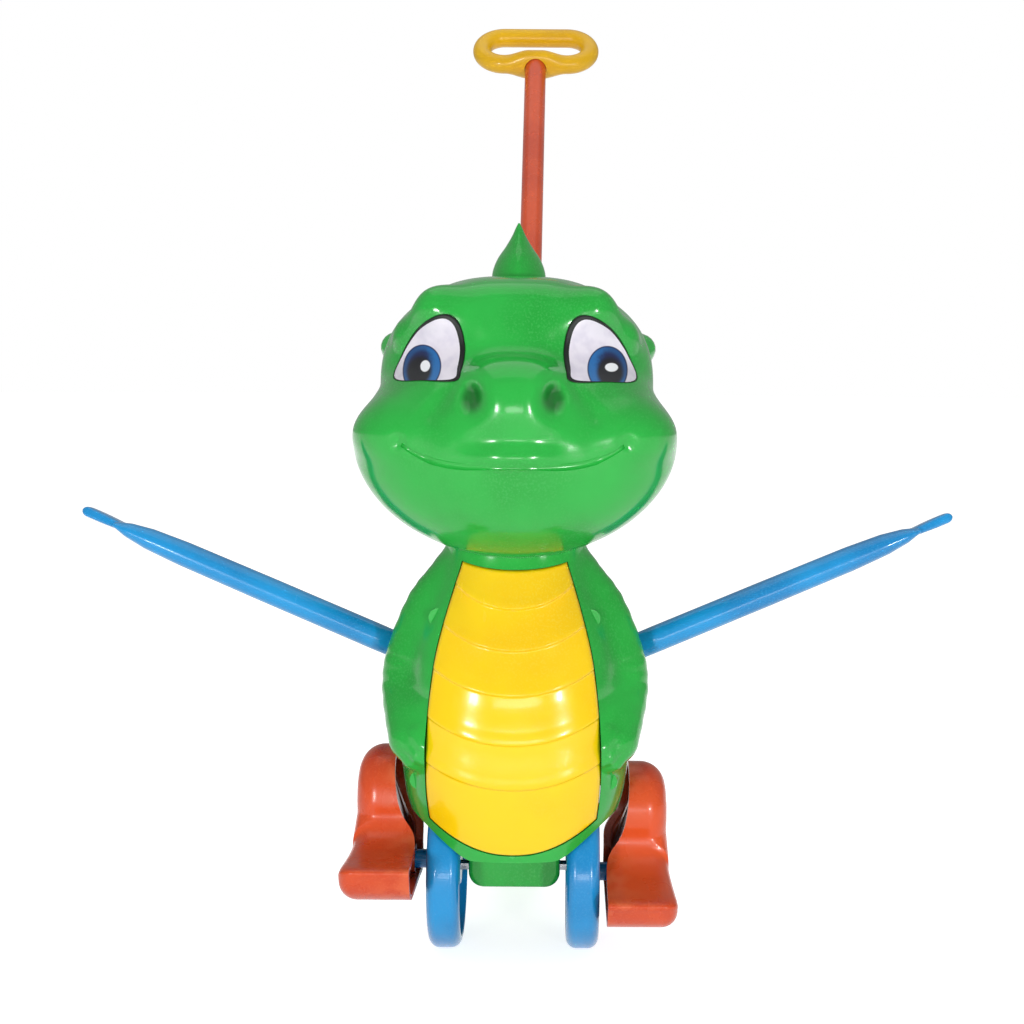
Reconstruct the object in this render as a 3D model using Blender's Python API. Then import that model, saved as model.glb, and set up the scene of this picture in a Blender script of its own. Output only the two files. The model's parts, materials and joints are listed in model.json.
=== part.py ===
"""A toddler push toy: a plastic dragon on two wheels, with walking feet, flapping wings and a stick.

Metres, +Z up, the face looks along -Y. The toy's left side is +X. While it is built, Y is zero at
the wheel axle and Z is zero at the floor; the last step centres the toy over its outer box.
"""

import math

import bmesh
import bpy
import numpy as np
from mathutils import Matrix, Vector

# Fits
SEAT_GAP = 0.0003
RUN_GAP = 0.0005
WALL = 0.0024
HEAD_WALL = 0.0032
RIM_ROUND = 0.0008

# Wheels, axle and cranks
WHEEL_RADIUS = 0.032
WHEEL_WIDTH = 0.0128
WHEEL_INNER_X = 0.0205
WHEEL_HUB_RADIUS = 0.0075
WHEEL_RIM_DEPTH = 0.0050
WHEEL_WEB = 0.0030
WHEEL_TREAD_ROUND = 0.0042
WHEEL_FACE_DISH = 0.0015
WHEEL_RIB = 0.0020
WHEEL_RIBS = 6
AXLE_RADIUS = 0.0020
CRANK_THROW = 0.0070
CRANK_ANGLE = math.radians(38.0)
CRANK_PIN_RADIUS = 0.0037
CRANK_PIN_END_X = 0.0490
LIFT_THROW = 0.0034
LIFT_CRANK_HALF = 0.0042
LIFT_CRANK_BEND = 0.0024

# Torso, heights above the floor
TORSO_TOP = 0.1780
TORSO_HALF_WIDTH = 0.0445
TORSO_FRONT_DEPTH = 0.0410
TORSO_BACK_DEPTH = 0.0420
TORSO_POWER = 2.5
TORSO_RIM_FRONT = 0.0447
TORSO_RIM_BACK = 0.0480
TORSO_RIM_RISE = 0.0150
TORSO_LEVEL_SHARES = (0.25, 0.315, 0.36, 0.41, 0.466, 0.545, 0.64, 0.725, 0.787, 0.831, 0.876, 1.0)
TORSO_WIDTH_SHARES = (0.80, 0.90, 0.96, 0.99, 1.0, 0.99, 0.945, 0.875, 0.775, 0.685, 0.63, 0.607)
TORSO_FRONT_SHARES = (0.84, 0.915, 0.95, 0.98, 1.0, 0.995, 0.945, 0.865, 0.78, 0.72, 0.67, 0.634)
TORSO_BACK_SHARES = (0.85, 0.93, 0.97, 0.995, 1.0, 0.98, 0.92, 0.835, 0.74, 0.67, 0.62, 0.595)

# Arms in relief: points and radii as shares of the torso height
ARM_POINT_SHARES = ((0.193, -0.062, 0.795), (0.250, -0.034, 0.575), (0.228, -0.140, 0.450))
ARM_RADIUS_SHARES = (0.043, 0.049, 0.043)
ARM_BLEND = 0.0050

# Belly plate
BELLY_TOP = 0.1575
BELLY_TOP_SAG = 0.0025
BELLY_BOTTOM = 0.0477
BELLY_BOTTOM_RISE = 0.0125
BELLY_HALF_WIDTH = 0.0328
BELLY_LEVEL_SHARES = (0.0, 0.11, 0.19, 0.36, 0.53, 0.70, 0.85, 1.0)
BELLY_WIDTH_SHARES = (0.90, 0.965, 0.995, 1.0, 0.965, 0.885, 0.755, 0.60)
BELLY_SCALE_SHARES = (0.855, 0.72, 0.57, 0.405, 0.25)
BELLY_SCALE_SAG = 0.0085
BELLY_STEP = 0.0013
BELLY_PROUD = 0.0004
BELLY_WALL = 0.0022

# Head
HEAD_WIDTH = 0.1250
HEAD_MIDDLE = 0.2125
CRANIUM_SHARES = ((0.0, 0.016, 0.090), (0.428, 0.368, 0.334))
CRANIUM_POWER = 2.7
MUZZLE_SHARES = ((0.0, -0.160, -0.072), (0.498, 0.336, 0.300))
MUZZLE_LOWER_SHARE = 0.350
MUZZLE_POWER = 2.1
THROAT_SHARES = ((0.0, 0.048, -0.215), (0.300, 0.268, 0.200))
THROAT_POWER = 2.2
CHEEK_SHARES = ((0.300, -0.270, 0.010), (0.180, 0.150, 0.105))
SNOUT_SHARES = ((0.0, -0.315, 0.035), (0.205, 0.205, 0.155))
SNOUT_POWER = 2.3
BROW_POINT_SHARES = ((0.105, -0.262, 0.268), (0.232, -0.255, 0.312), (0.345, -0.150, 0.235))
BROW_RADIUS_SHARES = (0.050, 0.062, 0.055)
EAR_SHARES = ((0.388, 0.110, 0.205), 0.048)
SOCKET_SHARES = ((0.262, 0.190), (0.150, 0.110), 0.030)
NOSTRIL_SHARES = ((0.116, 0.066), 0.042, 0.028)
HEAD_BLEND_SHARE = 0.070
CHEEK_BLEND_SHARE = 0.050
SMILE_HALF_WIDTH = 0.0395
SMILE_DROP = 0.0155
SMILE_RISE = 0.0088
SMILE_POWER = 3.2
SMILE_GROOVE_RADIUS = 0.0014

# Eyes, outline as shares of the eye width about its centre
EYE_CENTRE = (0.0320, 0.2375)
EYE_WIDTH = 0.0270
EYE_PLATE = 0.0006
EYE_OUTLINE_SHARES = (
    (0.50, -0.40), (0.30, -0.02), (0.12, 0.27), (-0.10, 0.44), (-0.34, 0.40),
    (-0.47, 0.14), (-0.46, -0.16), (-0.38, -0.41), (0.05, -0.43),
)

# Crest
CREST_HEIGHT = 0.0238
CREST_HALF_WIDTH = 0.0108
CREST_HALF_DEPTH = 0.0150
CREST_Y = 0.0170
CREST_LEVEL_SHARES = (-0.25, 0.0, 0.22, 0.42, 0.62, 0.80, 0.93, 1.0)
CREST_SIZE_SHARES = (0.98, 1.0, 0.95, 0.77, 0.47, 0.24, 0.11, 0.03)
CREST_POWER = 1.45
CREST_PEG_RADIUS = 0.0030
CREST_PEG_LENGTH = 0.0070

# Carrier block and tail
CARRIER_HALF_WIDTH = 0.0180
CARRIER_FRONT = 0.0105
CARRIER_BACK = 0.0180
CARRIER_BOTTOM = 0.0262
CARRIER_TOP = 0.0600
CARRIER_CORNER = 0.0060
CARRIER_WALL = 0.0020
CARRIER_POCKET_HALF_WIDTH = 0.0075
BEAM_HALF_WIDTH = 0.0120
BEAM_BOTTOM = 0.0540
TAIL_PATH_SHARES = ((0.0, 0.62), (0.22, 0.49), (0.47, 0.29), (0.72, 0.155), (0.88, 0.165), (1.0, 0.26))
TAIL_RADIUS_SHARES = (0.215, 0.22, 0.205, 0.18, 0.12, 0.03)
TAIL_LENGTH = 0.1200
TAIL_HEIGHT = 0.0600
TENON_HALF_WIDTH = 0.0060
TENON_HALF_HEIGHT = 0.0050
TENON_DEPTH = 0.0060
TENON_Z = 0.0380

# Feet, outline as shares of the foot length about the crank pin
FOOT_LENGTH = 0.0620
FOOT_INNER_X = 0.0368
FOOT_OUTER_X = 0.0596
TOE_FLARE = 0.0026
FOOT_PLAY = 0.0007
LEG_CLEAR = 0.0023
FOOT_ROUND = 0.0095
FOOT_WALL = 0.0020
FOOT_PITCH = math.radians(4.5)
FOOT_STEP = 0.0120
FOOT_BOSS_RADIUS = 0.0055
FOOT_BOSS_X = 0.0385
FOOT_BOSS_SIDES = 16
FOOT_OUTLINE_SHARES = (
    (0.065, 0.726), (0.226, 0.661), (0.323, 0.516), (0.339, 0.355), (0.290, 0.194),
    (0.242, 0.065), (0.274, -0.065), (0.210, -0.121), (0.0, -0.105), (-0.323, -0.080),
    (-0.613, -0.072), (-0.710, -0.045), (-0.742, 0.020), (-0.690, 0.076), (-0.484, 0.090),
    (-0.290, 0.105), (-0.177, 0.153), (-0.185, 0.258), (-0.218, 0.403), (-0.194, 0.548),
    (-0.097, 0.677),
)
FOOT_SPINE_SHARES = ((0.060, 0.470), (0.048, 0.030), (-0.600, 0.002))

# Wings
WING_HINGE_X = 0.0240
WING_HINGE_Y = 0.0090
WING_HINGE_Z = 0.1090
WING_LIFT = math.radians(23.2)
WING_SWING = math.radians(32.0)
WING_TILT = math.radians(9.0)
WING_SPAR_LENGTH = 0.1480
WING_TIP_LENGTH = 0.1635
WING_SPAR_HALF = 0.0053
WING_NECK_HALF = 0.0043
WING_NECK_LENGTH = 0.0290
WING_SPAR_DEPTH = 0.0062
WING_MEMBRANE = 0.0032
WING_MEMBRANE_START = 0.0350
WING_CHORD = 0.0600
WING_SCALLOPS = 3
WING_SCALLOP_SHARE = 0.16
WING_KNUCKLE_RADIUS = 0.0053
HINGE_PIN_RADIUS = 0.0015
BRACKET_PLATE = 0.0020
BRACKET_HALF_WIDTH = 0.0290
BRACKET_HALF_HEIGHT = 0.0060
BRACKET_WEB_HALF = 0.0150
BRACKET_POST_RADIUS = 0.0030
BRACKET_POST_X = 0.0110
SLOT_CLEAR = 0.0012

# Lifter
LIFTER_PLATE = 0.0030
LIFTER_STEM_HALF = 0.0045
LIFTER_BAR_DROP = 0.0085
LIFTER_BAR_HEIGHT = 0.0030
LIFTER_PAD_RADIUS = 0.0020
LIFTER_PAD_REACH = 0.0105
LIFTER_FORK_LEG = 0.0016
LIFTER_FORK_DEPTH = 0.0100

# Stick, socket and handle
STICK_LEAN = math.radians(45.0)
STICK_BASE_Y = 0.0330
STICK_BASE_Z = 0.0560
STICK_RUN = 0.5340
STICK_RADIUS = 0.0060
STICK_TOP_RADIUS = 0.0067
STICK_WALL = 0.0018
STICK_SPLIT_SHARE = 0.42
SPIGOT_LENGTH = 0.0250
SOCKET_RADIUS = 0.0090
SOCKET_LENGTH = 0.0400
SOCKET_LIP = 0.0015
HANDLE_WIDTH = 0.0815
HANDLE_HEIGHT = 0.0410
HANDLE_BAR_RADIUS = 0.0058
HANDLE_BOSS_HALF = 0.0100
HANDLE_BOSS_SPREAD = 0.0200
HANDLE_BORE_DEPTH = 0.0085

# Screws that join the torso halves
SCREW_PLACE_SHARES = ((0.202, 0.416), (0.163, 0.764))
SCREW_HEAD_RADIUS = 0.0030
SCREW_HEAD_LENGTH = 0.0022
SCREW_RADIUS = 0.0014
SCREW_LENGTH = 0.0150
SCREW_BOSS_RADIUS = 0.0048
SCREW_BOSS_Y = 0.0080
POST_RADIUS = 0.0036
DRIVE_WIDTH = 0.0008
DRIVE_LENGTH = 0.0038
DRIVE_DEPTH = 0.0010

# How finely the shapes are divided
HALVINGS = 26
SLIVER = 0.00005
FLAT_ANGLE = math.radians(0.3)
FRONT_RINGS = 14
BACK_RINGS = 7
INNER_RINGS = 7
HEAD_SECTORS = 46
TORSO_COLUMNS = 24
TORSO_ROWS = 16
TORSO_INNER_ROWS = 6

REACH = 4.0 * HEAD_WIDTH


def material(name, colour, roughness, metallic=0.0):
    """A Principled material of one colour."""
    made = bpy.data.materials.new(name)
    made.use_nodes = True
    shader = made.node_tree.nodes["Principled BSDF"]
    shader.inputs["Base Color"].default_value = (*colour, 1.0)
    shader.inputs["Roughness"].default_value = roughness
    shader.inputs["Metallic"].default_value = metallic
    return made


def mesh_object(name, points, faces, surface, origin=(0.0, 0.0, 0.0), smooth=True):
    """A mesh object whose faces look outwards and whose origin lies at the given place."""
    mesh = bpy.data.meshes.new(name)
    placed = np.asarray(points, float) - np.asarray(origin, float)
    mesh.from_pydata([tuple(map(float, point)) for point in placed], [], faces)
    work = bmesh.new()
    work.from_mesh(mesh)
    bmesh.ops.recalc_face_normals(work, faces=work.faces)
    if work.calc_volume(signed=True) < 0:
        bmesh.ops.reverse_faces(work, faces=work.faces)
    for face in work.faces:
        face.smooth = smooth
    work.to_mesh(mesh)
    work.free()
    made = bpy.data.objects.new(name, mesh)
    made.location = origin
    if surface:
        mesh.materials.append(surface)
    bpy.context.scene.collection.objects.link(made)
    return made


def helper(made):
    """Keeps a Boolean operand out of the render."""
    made.hide_render = True
    made.display_type = "WIRE"
    return made


def combine(target, operand, operation):
    """Joins the operand to the target or cuts it away, with an exact Boolean."""
    helper(operand)
    step = target.modifiers.new(operation.title() + " " + operand.name, "BOOLEAN")
    step.operation = operation
    step.solver = "EXACT"
    step.object = operand
    return target


def cut(target, operand):
    """Cuts the operand out of the target."""
    return combine(target, operand, "DIFFERENCE")


def join(target, operand):
    """Joins the operand and the target into one body."""
    return combine(target, operand, "UNION")


def box(name, low, high, surface=None, turn=None):
    """A box between two corners, turned by an optional matrix."""
    corners = [
        (x, y, z) for x in (low[0], high[0]) for y in (low[1], high[1]) for z in (low[2], high[2])
    ]
    if turn is not None:
        corners = [tuple(turn @ Vector(corner)) for corner in corners]
    faces = [(0, 1, 3, 2), (4, 6, 7, 5), (0, 4, 5, 1), (2, 3, 7, 6), (0, 2, 6, 4), (1, 5, 7, 3)]
    return mesh_object(name, corners, faces, surface, smooth=False)


def turned(name, profile, frame, segments, surface=None, origin=(0.0, 0.0, 0.0)):
    """A turned body: (distance along the axis, radius) points, spun round the frame's Z axis."""
    solid = profile[0][1] == 0 and profile[-1][1] == 0
    turns = profile[1:-1] if solid else profile
    points, rings = [], []
    for along, radius in turns:
        rings.append(list(range(len(points), len(points) + segments)))
        for step in range(segments):
            angle = 2.0 * math.pi * step / segments
            spot = Vector((radius * math.cos(angle), radius * math.sin(angle), along))
            points.append(frame @ spot)
    faces = tube_sides(rings, closed=not solid)
    if solid:
        faces += [tuple(rings[0]), tuple(rings[-1])]
    return mesh_object(name, points, faces, surface, origin)


def axis_frame(start, direction):
    """A frame with its origin at the start and its Z axis along the direction."""
    turn = Vector(direction).to_track_quat("Z", "Y").to_matrix().to_4x4()
    return Matrix.Translation(Vector(start)) @ turn


def rod(name, start, end, radius, segments=20, surface=None):
    """A round rod between two points."""
    length = (Vector(end) - Vector(start)).length
    frame = axis_frame(start, Vector(end) - Vector(start))
    profile = [(0.0, 0.0), (0.0, radius), (length, radius), (length, 0.0)]
    return turned(name, profile, frame, segments, surface)


def tube_sides(rings, closed=False):
    """Quads between rings of equal length, the last joined to the first when closed."""
    faces = []
    count = len(rings[0])
    pairs = list(zip(rings, rings[1:]))
    if closed:
        pairs.append((rings[-1], rings[0]))
    for first, second in pairs:
        for step in range(count):
            after = (step + 1) % count
            faces.append((first[step], first[after], second[after], second[step]))
    return faces


def settled(made):
    """Applies the Booleans, drops slivers and splits flat areas into even triangles."""
    bpy.context.view_layer.update()
    graph = bpy.context.evaluated_depsgraph_get()
    mesh = bpy.data.meshes.new_from_object(made.evaluated_get(graph))
    work = bmesh.new()
    work.from_mesh(mesh)
    bmesh.ops.dissolve_degenerate(work, dist=SLIVER, edges=work.edges[:])
    bmesh.ops.dissolve_limit(
        work, angle_limit=FLAT_ANGLE, verts=work.verts[:], edges=work.edges[:],
        use_dissolve_boundaries=False,
    )
    bmesh.ops.triangulate(work, faces=work.faces[:], quad_method="BEAUTY", ngon_method="BEAUTY")
    work.to_mesh(mesh)
    work.free()
    made.modifiers.clear()
    made.data = mesh
    return made


def halved(faces):
    """Every quad as two triangles, always on the same diagonal."""
    found = []
    for face in faces:
        found.append(tuple(face[:3]))
        if len(face) == 4:
            found.append((face[0], face[2], face[3]))
    return found


def lofted(name, sections, surface=None, origin=(0.0, 0.0, 0.0), closed=False):
    """A body through sections of equal point count, capped at both ends."""
    points, rings = [], []
    for section in sections:
        rings.append(list(range(len(points), len(points) + len(section))))
        points.extend(section)
    faces = tube_sides(rings, closed)
    if not closed:
        faces.append(tuple(rings[0]))
        faces.append(tuple(rings[-1]))
    return mesh_object(name, points, faces, surface, origin)


def follow(places, knots, values):
    """A smooth curve through the knots, evaluated at the places."""
    knots, values = np.asarray(knots, float), np.asarray(values, float)
    slopes = np.gradient(values, knots)
    places = np.clip(places, knots[0], knots[-1])
    index = np.clip(np.searchsorted(knots, places) - 1, 0, len(knots) - 2)
    span = knots[index + 1] - knots[index]
    t = (places - knots[index]) / span
    rise = values[index + 1] - values[index]
    first, second = slopes[index] * span, slopes[index + 1] * span
    return values[index] + t * first + t * t * (3 * rise - 2 * first - second) + t**3 * (
        first + second - 2 * rise
    )


def blend(first, second, width):
    """The smooth union of two fields."""
    near = np.maximum(width - np.abs(first - second), 0.0) / width
    return np.minimum(first, second) - near * near * width / 4.0


def ease(value, low, high):
    """Zero below the low end, one above the high end, and smooth between."""
    t = np.clip((value - low) / (high - low), 0.0, 1.0)
    return t * t * (3.0 - 2.0 * t)


def oval_field(points, centre, radii, power, lower=None):
    """A field that is negative inside a superellipsoid."""
    offset = points - centre
    upright = np.where(offset[..., 2] < 0, lower or radii[2], radii[2])
    reach = (
        np.abs(offset[..., 0] / radii[0]) ** power
        + np.abs(offset[..., 1] / radii[1]) ** power
        + np.abs(offset[..., 2] / upright) ** power
    ) ** (1.0 / power)
    return (reach - 1.0) * min(radii)


def limb_field(points, start, end, start_radius, end_radius):
    """A field that is negative inside a rounded limb between two points."""
    axis = end - start
    share = np.clip(((points - start) @ axis) / (axis @ axis), 0.0, 1.0)
    nearest = start + share[..., None] * axis
    radius = start_radius + share * (end_radius - start_radius)
    return np.linalg.norm(points - nearest, axis=-1) - radius


def mirrored(points):
    """The points with X made positive, for shapes that are alike on both sides."""
    return np.stack([np.abs(points[..., 0]), points[..., 1], points[..., 2]], axis=-1)


def torso_core(points):
    """The torso without its arms."""
    height = points[..., 2] / TORSO_TOP
    width = TORSO_HALF_WIDTH * follow(height, TORSO_LEVEL_SHARES, TORSO_WIDTH_SHARES)
    front = TORSO_FRONT_DEPTH * follow(height, TORSO_LEVEL_SHARES, TORSO_FRONT_SHARES)
    back = TORSO_BACK_DEPTH * follow(height, TORSO_LEVEL_SHARES, TORSO_BACK_SHARES)
    depth = np.where(points[..., 1] < 0, front, back)
    reach = (
        np.abs(points[..., 0] / width) ** TORSO_POWER
        + np.abs(points[..., 1] / depth) ** TORSO_POWER
    ) ** (1.0 / TORSO_POWER)
    return (reach - 1.0) * np.minimum(width, depth)


def torso_field(points):
    """The torso with its arms in relief."""
    sided = mirrored(points)
    spots = np.array(ARM_POINT_SHARES) * TORSO_TOP
    sizes = np.array(ARM_RADIUS_SHARES) * TORSO_TOP
    upper = limb_field(sided, spots[0], spots[1], sizes[0], sizes[1])
    lower = limb_field(sided, spots[1], spots[2], sizes[1], sizes[2])
    arm = blend(upper, lower, ARM_BLEND / 2.0)
    return blend(torso_core(points), arm, ARM_BLEND)


def head_field(points):
    """The head: skull, muzzle, throat, cheeks, brows and ears, with sockets and nostrils."""
    sided = mirrored(points - np.array((0.0, 0.0, HEAD_MIDDLE)))
    size = HEAD_WIDTH
    soft = HEAD_BLEND_SHARE * size

    def oval(shares, power, lower=None):
        centre, radii = np.array(shares[0]) * size, np.array(shares[1]) * size
        return oval_field(sided, centre, radii, power, lower)

    def limb(spots, sizes):
        spots, sizes = np.array(spots) * size, np.array(sizes) * size
        found = limb_field(sided, spots[0], spots[1], sizes[0], sizes[1])
        for index in range(1, len(spots) - 1):
            piece = limb_field(
                sided, spots[index], spots[index + 1], sizes[index], sizes[index + 1]
            )
            found = blend(found, piece, soft / 2.0)
        return found

    skull = oval(CRANIUM_SHARES, CRANIUM_POWER)
    brow = limb(BROW_POINT_SHARES, BROW_RADIUS_SHARES)
    found = blend(skull, brow, CHEEK_BLEND_SHARE * size)
    socket_place, socket_spread, socket_depth = SOCKET_SHARES
    away = ((sided[..., 0] / size - socket_place[0]) / socket_spread[0]) ** 2
    away = away + ((sided[..., 2] / size - socket_place[1]) / socket_spread[1]) ** 2
    ahead = ease(-sided[..., 1], 0.0, 0.2 * size)
    found = found + socket_depth * size * np.exp(-(away**2)) * ahead
    muzzle = oval(MUZZLE_SHARES, MUZZLE_POWER, MUZZLE_LOWER_SHARE * size)
    muzzle = blend(muzzle, oval(CHEEK_SHARES, 2.0), CHEEK_BLEND_SHARE * size)
    muzzle = blend(muzzle, oval(SNOUT_SHARES, SNOUT_POWER), soft)
    found = blend(found, muzzle, CHEEK_BLEND_SHARE * size)
    found = blend(found, oval(THROAT_SHARES, THROAT_POWER), soft)
    ear_centre = np.array(EAR_SHARES[0]) * size
    ear = np.linalg.norm(sided - ear_centre, axis=-1) - EAR_SHARES[1] * size
    found = blend(found, ear, CHEEK_BLEND_SHARE * size / 2.0)
    nostril_place, nostril_spread, nostril_depth = NOSTRIL_SHARES
    away = (sided[..., 0] / size - nostril_place[0]) ** 2
    away = (away + (sided[..., 2] / size - nostril_place[1]) ** 2) / nostril_spread**2
    return found + nostril_depth * size * np.exp(-away) * ahead


def crossing(field, starts, directions, near, far, level=0.0):
    """The distance along each ray at which the field reaches the level, found by halving."""
    low = np.full(directions.shape[:-1], float(near))
    high = np.full(directions.shape[:-1], float(far))
    for _ in range(HALVINGS):
        middle = (low + high) / 2.0
        inside = field(starts + directions * middle[..., None]) < level
        low = np.where(inside, middle, low)
        high = np.where(inside, high, middle)
    return (low + high) / 2.0


def face_depth(field, across, height, level=0.0):
    """The Y of the front of a field at places given in X and Z."""
    starts = np.stack([across, np.zeros_like(across), height], axis=-1)
    directions = np.broadcast_to(np.array((0.0, -1.0, 0.0)), starts.shape)
    return -crossing(field, starts, directions, 0.0, REACH, level)


def back_depth(field, across, height, level=0.0):
    """The Y of the back of a field at one place given in X and Z."""
    starts = np.array([[across, 0.0, height]])
    return float(crossing(field, starts, np.array([[0.0, 1.0, 0.0]]), 0.0, REACH, level)[0])


def head_half(name, side, rings, surface):
    """One half of the head: an outer skin, an inner skin and the rim that joins them."""
    start = np.array((0.0, side * SEAT_GAP / 2.0, HEAD_MIDDLE))

    def skin(count, level):
        tilt = np.linspace(0.0, math.pi / 2.0, count + 1)[1:, None]
        turn = np.linspace(0.0, 2.0 * math.pi, HEAD_SECTORS, endpoint=False)[None, :]
        directions = np.stack(
            [np.sin(tilt) * np.cos(turn), side * np.cos(tilt) + 0.0 * turn, np.sin(tilt) * np.sin(turn)],
            axis=-1,
        )
        pole = np.array([[[0.0, side, 0.0]]])
        reach = crossing(head_field, start, directions, 0.0, REACH, level)
        tip = crossing(head_field, start, pole, 0.0, REACH, level)
        return start + directions * reach[..., None], (start + pole * tip[..., None])[0, 0]

    points, faces, edges = [], [], []
    for count, level in ((rings, 0.0), (INNER_RINGS, -HEAD_WALL)):
        grid, tip = skin(count, level)
        base = len(points)
        points.append(tip)
        points.extend(grid.reshape(-1, 3))
        loops = [
            [base + 1 + ring * HEAD_SECTORS + sector for sector in range(HEAD_SECTORS)]
            for ring in range(count)
        ]
        for sector in range(HEAD_SECTORS):
            after = (sector + 1) % HEAD_SECTORS
            faces.append((base, loops[0][sector], loops[0][after]))
        faces.extend(tube_sides(loops))
        edges.append(loops[-1])
    faces.extend(tube_sides(edges))
    return mesh_object(name, points, faces, surface)


def torso_half(name, side, surface):
    """One half of the torso as an open shell with its rims."""
    turn = np.linspace(0.0, math.pi, TORSO_COLUMNS + 1)
    lowest = TORSO_RIM_FRONT if side < 0 else TORSO_RIM_BACK
    highest = TORSO_RIM_FRONT + TORSO_RIM_RISE
    rim = lowest + (highest - lowest) * ease(np.abs(np.cos(turn)), 0.42, 0.95)
    start_y = side * SEAT_GAP / 2.0

    def skin(rows, level):
        share = np.linspace(0.0, 1.0, rows + 1)[:, None]
        height = rim[None, :] + share * (TORSO_TOP - rim[None, :])
        starts = np.stack([0.0 * height, 0.0 * height + start_y, height], axis=-1)
        flat = np.stack([np.cos(turn), side * np.sin(turn), 0.0 * turn], axis=-1)
        directions = np.broadcast_to(flat[None, :, :], starts.shape)
        reach = crossing(torso_field, starts, directions, 0.0, REACH, level)
        return starts + directions * reach[..., None]

    outer, inner = skin(TORSO_ROWS, 0.0), skin(TORSO_INNER_ROWS, -WALL)
    points = list(outer.reshape(-1, 3)) + list(inner.reshape(-1, 3))
    width = TORSO_COLUMNS + 1
    base = outer.shape[0] * width

    def outer_at(row, column):
        return row * width + column

    def inner_at(row, column):
        return base + row * width + column

    faces = []
    for at, rows in ((outer_at, TORSO_ROWS), (inner_at, TORSO_INNER_ROWS)):
        for row in range(rows):
            for column in range(TORSO_COLUMNS):
                faces.append(
                    (at(row, column), at(row, column + 1), at(row + 1, column + 1), at(row + 1, column))
                )
    for row, inner_row in ((0, 0), (TORSO_ROWS, TORSO_INNER_ROWS)):
        for column in range(TORSO_COLUMNS):
            faces.append(
                (
                    outer_at(row, column), outer_at(row, column + 1),
                    inner_at(inner_row, column + 1), inner_at(inner_row, column),
                )
            )
    for column in (0, TORSO_COLUMNS):
        rim_loop = [outer_at(row, column) for row in range(TORSO_ROWS + 1)]
        rim_loop += [inner_at(row, column) for row in range(TORSO_INNER_ROWS, -1, -1)]
        faces.append(tuple(rim_loop))
    return mesh_object(name, points, faces, surface)


def belly_half_width(height):
    """Half the width of the belly plate at a height."""
    share = (height - BELLY_BOTTOM) / (BELLY_TOP - BELLY_BOTTOM)
    return BELLY_HALF_WIDTH * follow(share, BELLY_LEVEL_SHARES, BELLY_WIDTH_SHARES)


def belly_edges():
    """The scale edges from the top down, each as (height in the middle, rise at the sides)."""
    edges = [(BELLY_TOP, -BELLY_TOP_SAG)]
    for share in BELLY_SCALE_SHARES:
        edges.append((BELLY_BOTTOM + share * (BELLY_TOP - BELLY_BOTTOM), BELLY_SCALE_SAG))
    edges.append((BELLY_BOTTOM, BELLY_BOTTOM_RISE))
    return edges


def belly_plate(surface):
    """The belly plate, each scale rising to an edge that overlaps the next one."""
    across = np.linspace(-1.0, 1.0, 15)
    edges = belly_edges()
    rows, relief = [], []
    for index, (upper, lower) in enumerate(zip(edges, edges[1:])):
        lift = SEAT_GAP * 2.0 if index else 0.0
        for share in (0.0, 0.5, 1.0):
            top = upper[0] + (upper[1] if index else 0.0) * across**2 - lift
            top = top if index else upper[0] - BELLY_TOP_SAG * (1.0 - across**2)
            bottom = lower[0] + lower[1] * np.abs(across) ** 2.2
            rows.append(top + share * (bottom - top))
            relief.append(BELLY_STEP * share if index < len(edges) - 2 else 0.0)
    height = np.array(rows)
    wide = across[None, :] * belly_half_width(height)
    core = face_depth(torso_core, wide, height)
    outer = np.stack([wide, core - BELLY_PROUD - np.array(relief)[:, None], height], axis=-1)
    inner = np.stack([wide, core + BELLY_WALL, height], axis=-1)
    count_rows, count_columns = height.shape
    points = list(outer.reshape(-1, 3)) + list(inner.reshape(-1, 3))
    base = count_rows * count_columns
    faces = []
    for row in range(count_rows - 1):
        for column in range(count_columns - 1):
            quad = [
                row * count_columns + column, row * count_columns + column + 1,
                (row + 1) * count_columns + column + 1, (row + 1) * count_columns + column,
            ]
            faces.append(tuple(quad))
            faces.append(tuple(base + spot for spot in reversed(quad)))
    border = [column for column in range(count_columns)]
    border += [row * count_columns + count_columns - 1 for row in range(1, count_rows)]
    border += [
        (count_rows - 1) * count_columns + column for column in range(count_columns - 2, -1, -1)
    ]
    border += [row * count_columns for row in range(count_rows - 2, 0, -1)]
    for here, after in zip(border, border[1:] + border[:1]):
        faces.append((here, after, base + after, base + here))
    return mesh_object("belly_plate", points, faces, surface)


def belly_window():
    """The opening in the front shell that the belly plate fills."""
    across = np.linspace(-1.0, 1.0, 15)
    top = BELLY_TOP - BELLY_TOP_SAG * (1.0 - across**2) + SEAT_GAP
    bottom = BELLY_BOTTOM + BELLY_BOTTOM_RISE * np.abs(across) ** 2.2 - SEAT_GAP
    outline = [(x * (belly_half_width(z) + SEAT_GAP), z) for x, z in zip(across, top)]
    for share in np.linspace(0.0, 1.0, 12)[1:-1]:
        z = top[-1] + share * (bottom[-1] - top[-1])
        outline.append((belly_half_width(z) + SEAT_GAP, z))
    outline += [(x * (belly_half_width(z) + SEAT_GAP), z) for x, z in zip(across[::-1], bottom[::-1])]
    for share in np.linspace(1.0, 0.0, 12)[1:-1]:
        z = top[0] + share * (bottom[0] - top[0])
        outline.append((-belly_half_width(z) - SEAT_GAP, z))
    depths = (-2.0 * TORSO_FRONT_DEPTH, -0.3 * TORSO_FRONT_DEPTH)
    return lofted("belly_window", [[(x, y, z) for x, z in outline] for y in depths])


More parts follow.
